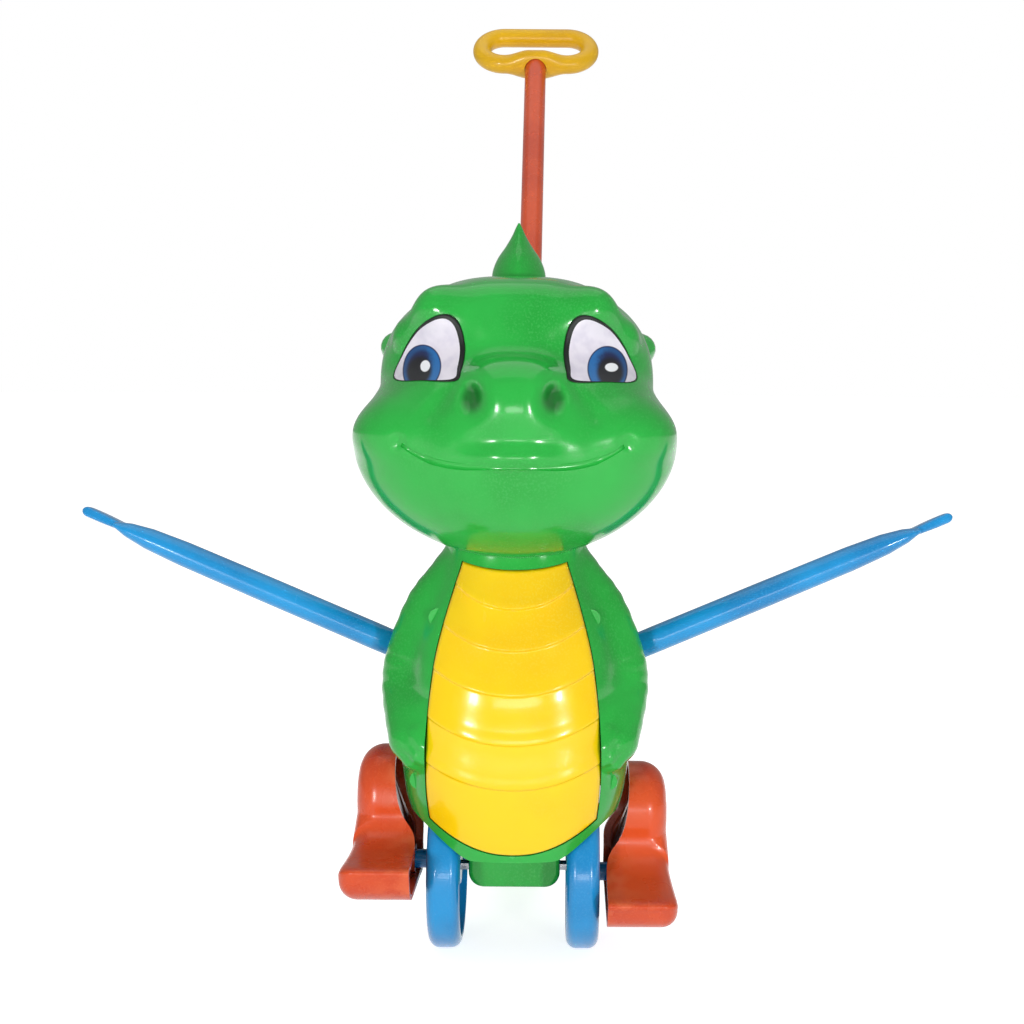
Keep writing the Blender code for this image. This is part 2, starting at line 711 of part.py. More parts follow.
def smooth_outline(spots, repeats):
    """A closed smooth curve through outline points, with the given number of steps each."""
    found = []
    count = len(spots)
    for index in range(count):
        p0, p1, p2, p3 = (np.array(spots[(index + shift) % count]) for shift in (-1, 0, 1, 2))
        for step in range(repeats):
            t = step / repeats
            found.append(
                0.5
                * (
                    2 * p1
                    + (p2 - p0) * t
                    + (2 * p0 - 5 * p1 + 4 * p2 - p3) * t * t
                    + (3 * p1 - p0 - 3 * p2 + p3) * t**3
                )
            )
    return np.array(found)


def eye_plate(name, side, near, far, grow, surface=None):
    """A plate in the outline of an eye, between two depths behind the face."""
    outline = smooth_outline(EYE_OUTLINE_SHARES, 3) * EYE_WIDTH
    reach = np.linalg.norm(outline, axis=1)[:, None]
    outline = outline * (1.0 + grow / reach)
    rings = 3
    points, loops = [], []
    count = len(outline)
    shares = np.linspace(0.0, 1.0, rings + 1)[1:]
    flat = np.concatenate([[[0.0, 0.0]], *[outline * share for share in shares]])
    across = EYE_CENTRE[0] + flat[:, 0]
    height = EYE_CENTRE[1] + flat[:, 1]
    face = face_depth(head_field, across, height)
    for depth in (near, far):
        base = len(points)
        points.extend(np.stack([side * across, face + depth, height], axis=-1))
        loops.append([base] + [base + 1 + step for step in range(count * rings)])
    faces, edges = [], []
    for order in loops:
        circles = [order[1 + ring * count : 1 + (ring + 1) * count] for ring in range(rings)]
        for step in range(count):
            faces.append((order[0], circles[0][step], circles[0][(step + 1) % count]))
        faces.extend(tube_sides(circles))
        edges.append(circles[-1])
    faces.extend(tube_sides(edges))
    return mesh_object(name, points, halved(faces), surface)


def smile_groove():
    """A round cutter along the smile."""
    across = np.linspace(-1.0, 1.0, 25) * SMILE_HALF_WIDTH
    lift = np.abs(across / SMILE_HALF_WIDTH) ** SMILE_POWER
    height = HEAD_MIDDLE - SMILE_DROP + SMILE_RISE * lift
    depth = face_depth(head_field, across, height)
    spots = [Vector(spot) for spot in np.stack([across, depth, height], axis=-1)]
    return swept("smile_groove", spots, [SMILE_GROOVE_RADIUS] * len(spots), 8)


def swept(name, spots, radii, segments, surface=None, origin=(0.0, 0.0, 0.0), up=(0.0, 0.0, 1.0)):
    """A round bar along a line of points, with a radius at each."""
    sections = []
    for index, spot in enumerate(spots):
        ahead = spots[min(index + 1, len(spots) - 1)] - spots[max(index - 1, 0)]
        ahead = ahead.normalized()
        side = ahead.cross(Vector(up)).normalized()
        lift = side.cross(ahead)
        ring = []
        for step in range(segments):
            angle = 2.0 * math.pi * step / segments
            ring.append(spot + radii[index] * (math.cos(angle) * side + math.sin(angle) * lift))
        sections.append(ring)
    return lofted(name, sections, surface, origin)


def solid_skin(name, field, low, high, level):
    """A closed body under a field's level round the torso axis, between two heights."""
    sections = []
    for z in np.linspace(low, high, 8):
        turn = np.linspace(0.0, 2.0 * math.pi, 2 * TORSO_COLUMNS, endpoint=False)
        directions = np.stack([np.cos(turn), np.sin(turn), 0.0 * turn], axis=-1)
        start = np.array((0.0, 0.0, z))
        reach = crossing(field, start, directions, 0.0, REACH, level)
        sections.append(list(start + directions * reach[:, None]))
    return lofted(name, sections)


def crest(surface, roof):
    """The spike on the crown, with a keel before and behind and a peg below."""
    sections = []
    for share, size in zip(CREST_LEVEL_SHARES, CREST_SIZE_SHARES):
        ring = []
        for step in range(20):
            angle = 2.0 * math.pi * step / 20
            c, s = math.cos(angle), math.sin(angle)
            x = math.copysign(abs(c) ** (2.0 / CREST_POWER), c) * CREST_HALF_WIDTH * size
            y = math.copysign(abs(s) ** (2.0 / CREST_POWER), s) * CREST_HALF_DEPTH * size
            ring.append((x, CREST_Y + y, roof + share * CREST_HEIGHT))
        sections.append(ring)
    return lofted("head_crest", sections, surface)


def crank_spot(side):
    """The crank pin centre of one side, as (Y, Z)."""
    reach = -side * CRANK_THROW
    return (
        side * CRANK_THROW * math.cos(CRANK_ANGLE),
        WHEEL_RADIUS + reach * math.sin(CRANK_ANGLE),
    )


def wheel(name, side, surface):
    """A wheel with hub, web, ribs, rounded tread and a moulded crank pin."""
    w, r = WHEEL_WIDTH, WHEEL_RADIUS
    soft = WHEEL_TREAD_ROUND
    bore = AXLE_RADIUS + SEAT_GAP / 2.0
    web_out = w - WHEEL_FACE_DISH
    web_in = web_out - WHEEL_WEB
    inner = r - WHEEL_RIM_DEPTH
    profile = [(WHEEL_RIB / 2.0, bore), (WHEEL_RIB / 2.0, WHEEL_HUB_RADIUS), (web_in, WHEEL_HUB_RADIUS)]
    profile += [(web_in, inner), (0.0, inner + RIM_ROUND), (0.0, r - soft)]
    for share in (0.33, 0.67, 1.0):
        angle = share * math.pi / 2.0
        profile.append((soft * (1.0 - math.cos(angle)), r - soft * (1.0 - math.sin(angle))))
    for share in (0.0, 0.33, 0.67, 1.0):
        angle = (1.0 - share) * math.pi / 2.0
        profile.append((w - soft * (1.0 - math.cos(angle)), r - soft * (1.0 - math.sin(angle))))
    profile += [(w, inner), (web_out, inner - RIM_ROUND), (web_out, bore)]
    frame = axis_frame((side * WHEEL_INNER_X, 0.0, WHEEL_RADIUS), (side, 0.0, 0.0))
    axle = (0.0, 0.0, WHEEL_RADIUS)
    made = turned(name, profile, frame, 32, surface, axle)
    x0 = side * WHEEL_INNER_X
    for index in range(WHEEL_RIBS):
        turn = Matrix.Translation(Vector(axle)) @ Matrix.Rotation(
            2.0 * math.pi * index / WHEEL_RIBS, 4, "X"
        )
        ends = sorted((x0 + side * WHEEL_RIB, x0 + side * (web_in + RIM_ROUND)))
        low = (ends[0], -WHEEL_RIB / 2.0, WHEEL_HUB_RADIUS - RIM_ROUND)
        high = (ends[1], WHEEL_RIB / 2.0, inner + RIM_ROUND)
        join(made, box(f"{name}_rib_{index + 1}", low, high, turn=turn))
    y, z = crank_spot(side)
    start = (x0 + side * (web_out - RIM_ROUND), y, z)
    pin = rod(f"{name}_pin", start, (side * CRANK_PIN_END_X, y, z), CRANK_PIN_RADIUS, 16)
    return join(made, pin)


def axle_shaft(surface):
    """The bent wire axle with a crank in its middle."""
    end = WHEEL_INNER_X + WHEEL_WIDTH - WHEEL_FACE_DISH - WHEEL_WEB / 2.0
    half, bend, up = LIFT_CRANK_HALF, LIFT_CRANK_BEND, LIFT_THROW
    corners = [(-end, 0.0), (-half - bend, 0.0), (-half, up), (half, up), (half + bend, 0.0), (end, 0.0)]
    spots = [Vector((x, 0.0, WHEEL_RADIUS + z)) for x, z in corners]
    origin = (0.0, 0.0, WHEEL_RADIUS)
    radii = [AXLE_RADIUS] * len(spots)
    return swept("axle_shaft", spots, radii, 12, surface, origin, up=(0.0, 1.0, 0.0))


def spine_spot(spot, spine):
    """The nearest point of a line of points to a spot."""
    best, least = None, None
    for first, second in zip(spine, spine[1:]):
        axis = second - first
        share = min(max(float((spot - first) @ axis / (axis @ axis)), 0.0), 1.0)
        near = first + share * axis
        away = float(np.linalg.norm(spot - near))
        if least is None or away < least:
            best, least = near, away
    return best, least


def foot_rings(outline, spine, inset, inner_x, outer_x, rounding):
    """The rings of a foot skin from its open side to its outer face."""
    rings = []
    steps = [(None, 0.0), (0.0, 0.0), (0.35, None), (0.70, None), (1.0, None)]
    for share, _ in steps:
        ring = []
        for spot in outline:
            near, away = spine_spot(spot, spine)
            reach = max(away - inset, 0.2 * away)
            soft = min(rounding, 0.72 * reach)
            angle = math.pi / 2.0 * (share or 0.0)
            reach = reach - soft * (1.0 - math.cos(angle))
            place = near + (spot - near) / away * reach
            flare = TOE_FLARE * (0.5 - place[0] / FOOT_LENGTH)
            x = outer_x + flare - soft * (1.0 - math.sin(angle))
            ring.append((inner_x(spot) if share is None else x, place[0], place[1]))
        rings.append(ring)
    return rings


def foot(name, side, surface):
    """A hollow leg and foot, open inwards, with the boss that rides on the crank pin."""
    outline = smooth_outline(FOOT_OUTLINE_SHARES, 2) * FOOT_LENGTH
    spine = np.array(FOOT_SPINE_SHARES) * FOOT_LENGTH

    def open_x(spot):
        highest = WHEEL_RADIUS + CRANK_THROW + spot[1]
        rim = TORSO_RIM_FRONT + TORSO_RIM_RISE
        beside = TORSO_HALF_WIDTH * float(
            follow(highest / TORSO_TOP, TORSO_LEVEL_SHARES, TORSO_WIDTH_SHARES)
        )
        step = float(ease(highest, rim - FOOT_STEP, rim))
        return FOOT_INNER_X + step * (beside + LEG_CLEAR - FOOT_INNER_X)

    outer = foot_rings(outline, spine, 0.0, open_x, FOOT_OUTER_X, FOOT_ROUND)
    inner = foot_rings(outline, spine, FOOT_WALL, open_x, FOOT_OUTER_X - FOOT_WALL, FOOT_ROUND - FOOT_WALL)
    y0, z0 = crank_spot(side)
    pitch = side * FOOT_PITCH
    cosine, sine = math.cos(pitch), math.sin(pitch)

    def placed(spot):
        x, y, z = spot
        return (side * x - FOOT_PLAY, y0 + y * cosine - z * sine, z0 + y * sine + z * cosine)

    points, rings = [], []
    for ring in outer + inner:
        rings.append(list(range(len(points), len(points) + len(ring))))
        points.extend(placed(spot) for spot in ring)
    outside, inside = rings[: len(outer)], rings[len(outer) :]
    faces = tube_sides(outside) + tube_sides(inside) + tube_sides([outside[0], inside[0]])
    faces += [tuple(outside[-1]), tuple(inside[-1])]
    origin = (side * (FOOT_INNER_X + FOOT_OUTER_X) / 2.0, y0, z0)
    made = mesh_object(name, points, faces, surface, origin)
    start = (side * FOOT_BOSS_X - FOOT_PLAY, y0, z0)
    length = FOOT_OUTER_X + TOE_FLARE / 2.0 - 0.6 * FOOT_WALL - FOOT_BOSS_X
    profile = [
        (0.0, 0.0), (0.0, FOOT_BOSS_RADIUS), (length - 0.8 * FOOT_WALL, FOOT_BOSS_RADIUS),
        (length, 0.58 * FOOT_BOSS_RADIUS), (length, 0.0),
    ]
    boss_frame = axis_frame(start, (side, 0.0, 0.0))
    join(made, turned(f"{name}_boss", profile, boss_frame, FOOT_BOSS_SIDES))
    bore_end = side * (CRANK_PIN_END_X + FOOT_PLAY + RUN_GAP) - FOOT_PLAY
    bore_start = side * (FOOT_BOSS_X - WALL) - FOOT_PLAY
    bore = rod(
        f"{name}_bore", (bore_start, y0, z0), (bore_end, y0, z0), CRANK_PIN_RADIUS + SEAT_GAP, 16
    )
    return settled(cut(made, bore))


def wing_frame(side):
    """The wing frame: X along the span, Y back along the chord, Z up from the wing."""
    turn = Matrix.Rotation(-WING_LIFT, 4, "Y")
    mirror = Matrix.Diagonal(Vector((side, 1.0, 1.0, 1.0)))
    place = Matrix.Translation(Vector((WING_HINGE_X, WING_HINGE_Y, WING_HINGE_Z)))
    return mirror @ place @ turn


def wing(name, side, surface):
    """A wing: knuckle, neck, thick leading spar, scalloped membrane and fingers."""
    frame = wing_frame(side)
    origin = (side * WING_HINGE_X, WING_HINGE_Y, WING_HINGE_Z)
    stations = [
        (0.0, 0.9, 0.0), (WING_NECK_LENGTH, 1.0, 0.0), (WING_NECK_LENGTH + 2.0 * WALL, 1.0, 1.0),
        (0.55 * WING_SPAR_LENGTH, 0.98, 1.0), (0.80 * WING_SPAR_LENGTH, 0.93, 0.9),
        (0.90 * WING_SPAR_LENGTH, 0.80, 0.7), (0.96 * WING_SPAR_LENGTH, 0.55, 0.2),
        (WING_SPAR_LENGTH, 0.20, -0.6),
    ]
    sections = []
    for along, thick_share, wide_share in stations:
        half = WING_SPAR_HALF * thick_share
        deep = max(WING_NECK_HALF + wide_share * (WING_SPAR_DEPTH - WING_NECK_HALF), 0.2 * WING_NECK_HALF)
        ring = []
        for step in range(14):
            angle = 2.0 * math.pi * step / 14
            ring.append(frame @ Vector((along, deep * math.cos(angle), half * math.sin(angle))))
        sections.append(ring)
    made = lofted(name, sections, surface, origin)
    knuckle = rod(
        f"{name}_knuckle", frame @ Vector((0.0, -WING_NECK_HALF, 0.0)),
        frame @ Vector((0.0, WING_NECK_HALF, 0.0)), WING_KNUCKLE_RADIUS, 20,
    )
    join(made, knuckle)
    columns = 8 * WING_SCALLOPS
    leading, trailing = [], []
    for column in range(columns + 1):
        share = column / columns
        along = WING_MEMBRANE_START + share * (WING_TIP_LENGTH - WING_MEMBRANE_START)
        lobe = abs(math.sin(math.pi * WING_SCALLOPS * share))
        chord = WING_CHORD * (1.0 - share) ** 0.8 * (0.72 + 0.28 * math.sin(math.pi * min(share + 0.25, 1.0)))
        chord = chord * (1.0 - WING_SCALLOP_SHARE * lobe) + 0.6 * WING_SPAR_DEPTH
        sweep = WING_SPAR_DEPTH * 1.2 * float(ease(share, 0.8, 1.0))
        leading.append((along, -0.5 * WING_SPAR_DEPTH * (1.0 - share**6) + sweep * 0.5))
        trailing.append((along, chord + sweep))
    points, faces = [], []
    tilted = frame @ Matrix.Rotation(-WING_TILT, 4, "X")
    for half in (WING_MEMBRANE / 2.0, -WING_MEMBRANE / 2.0):
        for column in range(columns + 1):
            for x, y in (leading[column], trailing[column]):
                points.append(tilted @ Vector((x, y, half)))
    base = 2 * (columns + 1)
    for column in range(columns):
        here = 2 * column
        faces.append((here, here + 2, here + 3, here + 1))
        faces.append((base + here, base + here + 1, base + here + 3, base + here + 2))
        faces.append((here, base + here, base + here + 2, here + 2))
        faces.append((here + 1, here + 3, base + here + 3, base + here + 1))
    last = 2 * columns
    faces.append((0, 1, base + 1, base))
    faces.append((last, base + last, base + last + 1, last + 1))
    join(made, mesh_object(f"{name}_membrane", points, faces, None))
    for finger in range(1, WING_SCALLOPS):
        column = 8 * finger
        start, end = leading[column], trailing[column]
        root = tilted @ Vector((start[0] - 0.5 * WING_SPAR_DEPTH, 0.0, 0.0))
        tip = tilted @ Vector((end[0], end[1] - WING_MEMBRANE / 2.0, 0.0))
        spots = [root + (tip - root) * share for share in (0.0, 0.5, 0.9, 1.0)]
        radii = [WING_MEMBRANE * share for share in (0.85, 0.72, 0.58, 0.3)]
        join(made, swept(f"{name}_finger_{finger}", spots, radii, 10))
    bore = rod(
        f"{name}_bore", frame @ Vector((0.0, -2.0 * WING_NECK_HALF, 0.0)),
        frame @ Vector((0.0, 2.0 * WING_NECK_HALF, 0.0)), HINGE_PIN_RADIUS + SEAT_GAP, 16,
    )
    return cut(made, bore)


def bracket(surface):
    """The bracket that holds both hinge pins between two plates."""
    inside = WING_NECK_HALF + RUN_GAP
    outside = inside + BRACKET_PLATE
    low_z, high_z = WING_HINGE_Z - BRACKET_HALF_HEIGHT, WING_HINGE_Z + BRACKET_HALF_HEIGHT
    web_low = high_z - BRACKET_PLATE
    made = box(
        "wing_bracket", (-BRACKET_HALF_WIDTH, WING_HINGE_Y - outside, low_z),
        (BRACKET_HALF_WIDTH, WING_HINGE_Y - inside, high_z), surface,
    )
    back = box(
        "wing_bracket_back", (-BRACKET_HALF_WIDTH, WING_HINGE_Y + inside, low_z),
        (BRACKET_HALF_WIDTH, WING_HINGE_Y + outside, high_z),
    )
    web = box(
        "wing_bracket_web", (-BRACKET_WEB_HALF, WING_HINGE_Y - outside + RIM_ROUND, web_low),
        (BRACKET_WEB_HALF, WING_HINGE_Y + outside - RIM_ROUND, high_z - RIM_ROUND / 2.0),
    )
    join(join(made, back), web)
    for side in (-1, 1):
        centre = side * WING_HINGE_X
        hole = rod(
            f"bracket_hole_{side + 2}", (centre, WING_HINGE_Y - 2.0 * outside, WING_HINGE_Z),
            (centre, WING_HINGE_Y + 2.0 * outside, WING_HINGE_Z), HINGE_PIN_RADIUS + SEAT_GAP / 2.0, 16,
        )
        cut(made, hole)
    return made


def lifter(surface):
    """The lifter: a bar under both wing necks, a stem and a fork over the axle crank."""
    along = Vector((math.cos(WING_LIFT), math.sin(WING_LIFT)))
    normal = Vector((math.sin(WING_LIFT), -math.cos(WING_LIFT)))
    away = WING_SPAR_HALF + LIFTER_PAD_RADIUS + SEAT_GAP
    spot = Vector((WING_HINGE_X, WING_HINGE_Z)) + along * LIFTER_PAD_REACH + normal * away
    bar_high = WING_HINGE_Z - LIFTER_BAR_DROP
    bar_low = bar_high - LIFTER_BAR_HEIGHT
    front, back = -LIFTER_PLATE / 2.0, WING_HINGE_Y + 0.6 * WING_NECK_HALF
    reach = spot[0] + LIFTER_PAD_RADIUS
    made = box("wing_lifter", (-reach, front, bar_low), (reach, back, bar_high), surface)
    origin = Vector((0.0, 0.0, bar_low))
    made.data.transform(Matrix.Translation(-origin))
    made.location = origin
    fork_top = WHEEL_RADIUS + LIFT_THROW + AXLE_RADIUS + pad_travel() + 2.0 * RUN_GAP
    stem = box(
        "lifter_stem", (-LIFTER_STEM_HALF, front, fork_top),
        (LIFTER_STEM_HALF, -front, bar_low + LIFTER_BAR_HEIGHT / 2.0),
    )
    join(made, stem)
    clear = LIFT_THROW + AXLE_RADIUS + RUN_GAP
    half = clear + LIFTER_FORK_LEG
    yoke = box(
        "lifter_yoke", (-LIFT_CRANK_HALF + RIM_ROUND, -half, fork_top - LIFTER_FORK_DEPTH),
        (LIFT_CRANK_HALF - RIM_ROUND, half, fork_top + LIFTER_FORK_LEG),
    )
    gate = box(
        "lifter_gate", (-2.0 * LIFT_CRANK_HALF, -clear, fork_top - 2.0 * LIFTER_FORK_DEPTH),
        (2.0 * LIFT_CRANK_HALF, clear, fork_top),
    )
    join(made, cut(yoke, gate))
    for side in (-1, 1):
        pad = rod(
            f"lifter_pad_{side + 2}", (side * spot[0], WING_HINGE_Y - 0.6 * WING_NECK_HALF, spot[1]),
            (side * spot[0], WING_HINGE_Y + 0.6 * WING_NECK_HALF, spot[1]), LIFTER_PAD_RADIUS, 14,
        )
        foot_box = box(
            f"lifter_riser_{side + 2}",
            (side * spot[0] - 0.8 * LIFTER_PAD_RADIUS, WING_HINGE_Y - 0.5 * WING_NECK_HALF, bar_low + RIM_ROUND),
            (side * spot[0] + 0.8 * LIFTER_PAD_RADIUS, WING_HINGE_Y + 0.5 * WING_NECK_HALF, spot[1]),
        )
        join(join(made, foot_box), pad)
    return made


def pad_travel():
    """How far the lifter goes down while the wings fall through their whole swing."""
    away = WING_SPAR_HALF + LIFTER_PAD_RADIUS + SEAT_GAP
    across = LIFTER_PAD_REACH * math.cos(WING_LIFT) + away * math.sin(WING_LIFT)
    low = WING_LIFT - WING_SWING

    def height(angle):
        return across * math.tan(angle) - away / math.cos(angle)

    return height(WING_LIFT) - height(low)


def carrier(surface):
    """The block between the wheels, with its beam, bore, crank pocket and mortise."""
    half, corner = CARRIER_HALF_WIDTH, CARRIER_CORNER
    outline = [(-half, CARRIER_TOP), (half, CARRIER_TOP)]
    for sign in (1.0, -1.0):
        for step in range(5):
            angle = math.pi / 2.0 * (step / 4.0 if sign > 0 else 1.0 - step / 4.0)
            x = half - corner + corner * math.cos(angle)
            outline.append((sign * x, CARRIER_BOTTOM + corner - corner * math.sin(angle)))
    depths = (-CARRIER_FRONT, CARRIER_BACK)
    made = lofted("axle_carrier", [[(x, y, z) for x, z in outline] for y in depths], surface)
    for polygon in made.data.polygons:
        polygon.use_smooth = False
    corners = np.array([BEAM_BOTTOM, CARRIER_TOP])
    front = float(face_depth(torso_core, 0.0 * corners + BEAM_HALF_WIDTH, corners).max())
    beam = box(
        "carrier_beam", (-BEAM_HALF_WIDTH, front + BELLY_WALL + SEAT_GAP, BEAM_BOTTOM),
        (BEAM_HALF_WIDTH, CARRIER_BACK - RIM_ROUND, CARRIER_TOP - RIM_ROUND),
    )
    join(made, beam)
    reach = 2.0 * CARRIER_HALF_WIDTH
    bore = rod(
        "carrier_bore", (-reach, 0.0, WHEEL_RADIUS), (reach, 0.0, WHEEL_RADIUS), AXLE_RADIUS + SEAT_GAP, 16
    )
    pocket = box(
        "carrier_pocket",
        (-CARRIER_POCKET_HALF_WIDTH, -CARRIER_FRONT + CARRIER_WALL, CARRIER_BOTTOM - CARRIER_WALL),
        (CARRIER_POCKET_HALF_WIDTH, CARRIER_FRONT - CARRIER_WALL, 2.0 * CARRIER_TOP),
    )
    mortise = box(
        "carrier_mortise",
        (
            -TENON_HALF_WIDTH - SEAT_GAP, CARRIER_BACK - TENON_DEPTH - SEAT_GAP,
            TENON_Z - TENON_HALF_HEIGHT - SEAT_GAP,
        ),
        (
            TENON_HALF_WIDTH + SEAT_GAP, CARRIER_BACK + TENON_DEPTH,
            TENON_Z + TENON_HALF_HEIGHT + SEAT_GAP,
        ),
    )
    for cutter in (bore, pocket, mortise):
        cut(made, cutter)
    return made


def tail(surface):
    """The tail: tapered, turned up at its tip, with a flat that rests on the floor."""
    front = CARRIER_BACK + SEAT_GAP
    samples = np.linspace(0.0, 1.0, 13)
    knots = [spot[0] for spot in TAIL_PATH_SHARES]
    heights = follow(samples, knots, [spot[1] for spot in TAIL_PATH_SHARES]) * TAIL_HEIGHT
    radii = follow(samples, knots, TAIL_RADIUS_SHARES) * TAIL_HEIGHT
    sections = []
    for share, z, radius in zip(samples, heights, radii):
        ring = []
        for step in range(20):
            angle = 2.0 * math.pi * step / 20
            lift = z + radius * math.sin(angle)
            ring.append((1.1 * radius * math.cos(angle), front + share * TAIL_LENGTH, lift))
        sections.append(ring)
    made = lofted("tail", sections, surface)
    tenon = box(
        "tail_tenon", (-TENON_HALF_WIDTH, CARRIER_BACK - TENON_DEPTH, TENON_Z - TENON_HALF_HEIGHT),
        (TENON_HALF_WIDTH, front + TENON_DEPTH, TENON_Z + TENON_HALF_HEIGHT),
    )
    join(made, tenon)
    floor = box(
        "tail_floor", (-TAIL_HEIGHT, CARRIER_BACK, -TAIL_HEIGHT), (TAIL_HEIGHT, 2.0 * TAIL_LENGTH, 0.0)
    )
    return cut(made, floor)


def stick_frame(along=0.0):
    """The stick frame: Z up the stick, X across the toy."""
    base = Vector((0.0, STICK_BASE_Y, STICK_BASE_Z))
    turn = Matrix.Rotation(-STICK_LEAN, 4, "X")
    return Matrix.Translation(base) @ turn @ Matrix.Translation(Vector((0.0, 0.0, along)))


def sticks(surface):
    """Both stick lengths: tubes, the lower one with a spigot inside the upper one."""
    split = STICK_SPLIT_SHARE * STICK_RUN
    r, wall = STICK_RADIUS, STICK_WALL
    lower_bore = r - wall
    spigot_bore = lower_bore - wall
    spigot = lower_bore - SEAT_GAP
    end = split + SPIGOT_LENGTH
    bottom = 2.0 * WALL
    profile = [
        (bottom, spigot_bore), (bottom, r), (split - SEAT_GAP, r), (split - SEAT_GAP, spigot),
        (end - RIM_ROUND, spigot), (end, spigot - RIM_ROUND), (end, spigot_bore),
    ]
    lower = turned("stick_lower", profile, stick_frame(), 20, surface)
    top = STICK_RUN - HANDLE_HEIGHT / 2.0 + HANDLE_BORE_DEPTH - SEAT_GAP
    profile = [
        (split, lower_bore), (split, r), (top, STICK_TOP_RADIUS), (top, lower_bore),
    ]
    upper = turned("stick_upper", profile, stick_frame(), 20, surface)
    return lower, upper


def socket(surface):
    """The socket tube that holds the stick in the back shell."""
    bore = STICK_RADIUS + SEAT_GAP
    lip = SOCKET_LIP
    profile = [
        (0.0, STICK_RADIUS - STICK_WALL), (0.0, SOCKET_RADIUS), (SOCKET_LENGTH - lip, SOCKET_RADIUS),
        (SOCKET_LENGTH, SOCKET_RADIUS - lip), (SOCKET_LENGTH, bore), (2.0 * WALL - SEAT_GAP, bore),
        (2.0 * WALL - SEAT_GAP, STICK_RADIUS - STICK_WALL),
    ]
    return turned("stick_socket", profile, stick_frame(), 24, surface)


def handle(surface):
    """The loop handle, its lower bar thickened round the bore for the stick."""
    frame = stick_frame(STICK_RUN)
    r = HANDLE_BAR_RADIUS
    arc = HANDLE_HEIGHT / 2.0 - r
    straight = HANDLE_WIDTH / 2.0 - r - arc
    places = []
    for step in range(9):
        angle = math.pi * step / 8 - math.pi / 2.0
        places.append((straight + arc * math.cos(angle), arc * math.sin(angle), angle))
    for step in range(9):
        angle = math.pi * step / 8 + math.pi / 2.0
        places.append((-straight + arc * math.cos(angle), arc * math.sin(angle), angle))
    for step in range(1, 10):
        across = straight * (step / 5.0 - 1.0)
        places.append((across, -arc, -math.pi / 2.0))
    sections = []
    for x, z, angle in places:
        near = max(1.0 - abs(x) / HANDLE_BOSS_SPREAD, 0.0) if z < 0 else 0.0
        deep = r + (HANDLE_BOSS_HALF - r) * float(ease(near, 0.0, 0.8))
        ring = []
        for step in range(16):
            turn = 2.0 * math.pi * step / 16
            out = r * math.cos(turn)
            spot = Vector((x + out * math.cos(angle), deep * math.sin(turn), z + out * math.sin(angle)))
            ring.append(frame @ spot)
        sections.append(ring)
    made = lofted("handle_loop", sections, surface, closed=True)
    low = -HANDLE_HEIGHT / 2.0
    radius = STICK_TOP_RADIUS + SEAT_GAP
    lift = low + HANDLE_BORE_DEPTH
    hole = [(2.0 * low, 0.0), (2.0 * low, radius), (lift, radius), (lift, 0.0)]
    return cut(made, turned("handle_bore", hole, frame, 20))


def screw_places():
    """The screw axes as (X, Z)."""
    found = []
    for x_share, z_share in SCREW_PLACE_SHARES:
        for side in (-1, 1):
            found.append((side * x_share * TORSO_TOP, z_share * TORSO_TOP))
    return found


def screws(front_shell, back_shell, surface):
    """The screws, with a boss in the back shell and a post in the front shell for each."""
    made = []
    for index, (x, z) in enumerate(screw_places()):
        tag = index + 1
        out = back_depth(torso_core, x, z, -WALL / 2.0)
        boss = rod(f"screw_boss_{tag}", (x, WALL / 2.0, z), (x, out, z), SCREW_BOSS_RADIUS, 16)
        seat, bore = SCREW_BOSS_Y, SCREW_RADIUS + SEAT_GAP / 2.0
        deep, wide = 2.0 * TORSO_BACK_DEPTH, SCREW_HEAD_RADIUS + SEAT_GAP
        sink = turned(
            f"screw_sink_{tag}", [(-deep, 0.0), (-deep, bore), (0.0, bore), (0.0, wide), (deep, wide), (deep, 0.0)],
            axis_frame((x, seat, z), (0.0, 1.0, 0.0)), 14,
        )
        cut(join(back_shell, boss), sink)
        into = float(face_depth(torso_field, np.array([x]), np.array([z]), -WALL / 2.0)[0])
        post = rod(f"screw_post_{tag}", (x, into, z), (x, -WALL / 2.0, z), POST_RADIUS, 16)
        thread = rod(
            f"screw_thread_{tag}", (x, seat - SCREW_LENGTH - RUN_GAP, z), (x, seat, z),
            SCREW_RADIUS + SEAT_GAP / 2.0, 12,
        )
        cut(join(front_shell, post), thread)
        start = seat + SEAT_GAP
        head = start + SCREW_HEAD_LENGTH
        profile = [
            (-SCREW_LENGTH, 0.0), (-SCREW_LENGTH + RIM_ROUND, SCREW_RADIUS), (0.0, SCREW_RADIUS),
            (0.0, SCREW_HEAD_RADIUS), (SCREW_HEAD_LENGTH / 2.0, SCREW_HEAD_RADIUS),
            (SCREW_HEAD_LENGTH, 0.6 * SCREW_HEAD_RADIUS), (SCREW_HEAD_LENGTH, 0.0),
        ]
        bolt = turned(f"torso_screw_{tag}", profile, axis_frame((x, start, z), (0.0, 1.0, 0.0)), 16, surface)
        for arm in range(2):
            wide = DRIVE_LENGTH / 2.0 if arm else DRIVE_WIDTH / 2.0
            tall = DRIVE_WIDTH / 2.0 if arm else DRIVE_LENGTH / 2.0
            slot = box(
                f"screw_drive_{tag}_{arm + 1}", (x - wide, head - DRIVE_DEPTH, z - tall),
                (x + wide, head + DRIVE_DEPTH, z + tall),
            )
            cut(bolt, slot)
        made.append(bolt)
    return made


def centre_over_box():
    """Moves every object so that the toy stands centred over its outer box."""
    bpy.context.view_layer.update()
    graph = bpy.context.evaluated_depsgraph_get()
    lows, highs = [], []
    for made in bpy.data.objects:
        if made.hide_render:
            continue
        solid = made.evaluated_get(graph)
        corners = np.array([solid.matrix_world @ Vector(corner) for corner in solid.bound_box])
        lows.append(corners.min(axis=0))
        highs.append(corners.max(axis=0))
    middle = (np.min(lows, axis=0) + np.max(highs, axis=0)) / 2.0
    for made in bpy.data.objects:
        made.location.y -= middle[1]


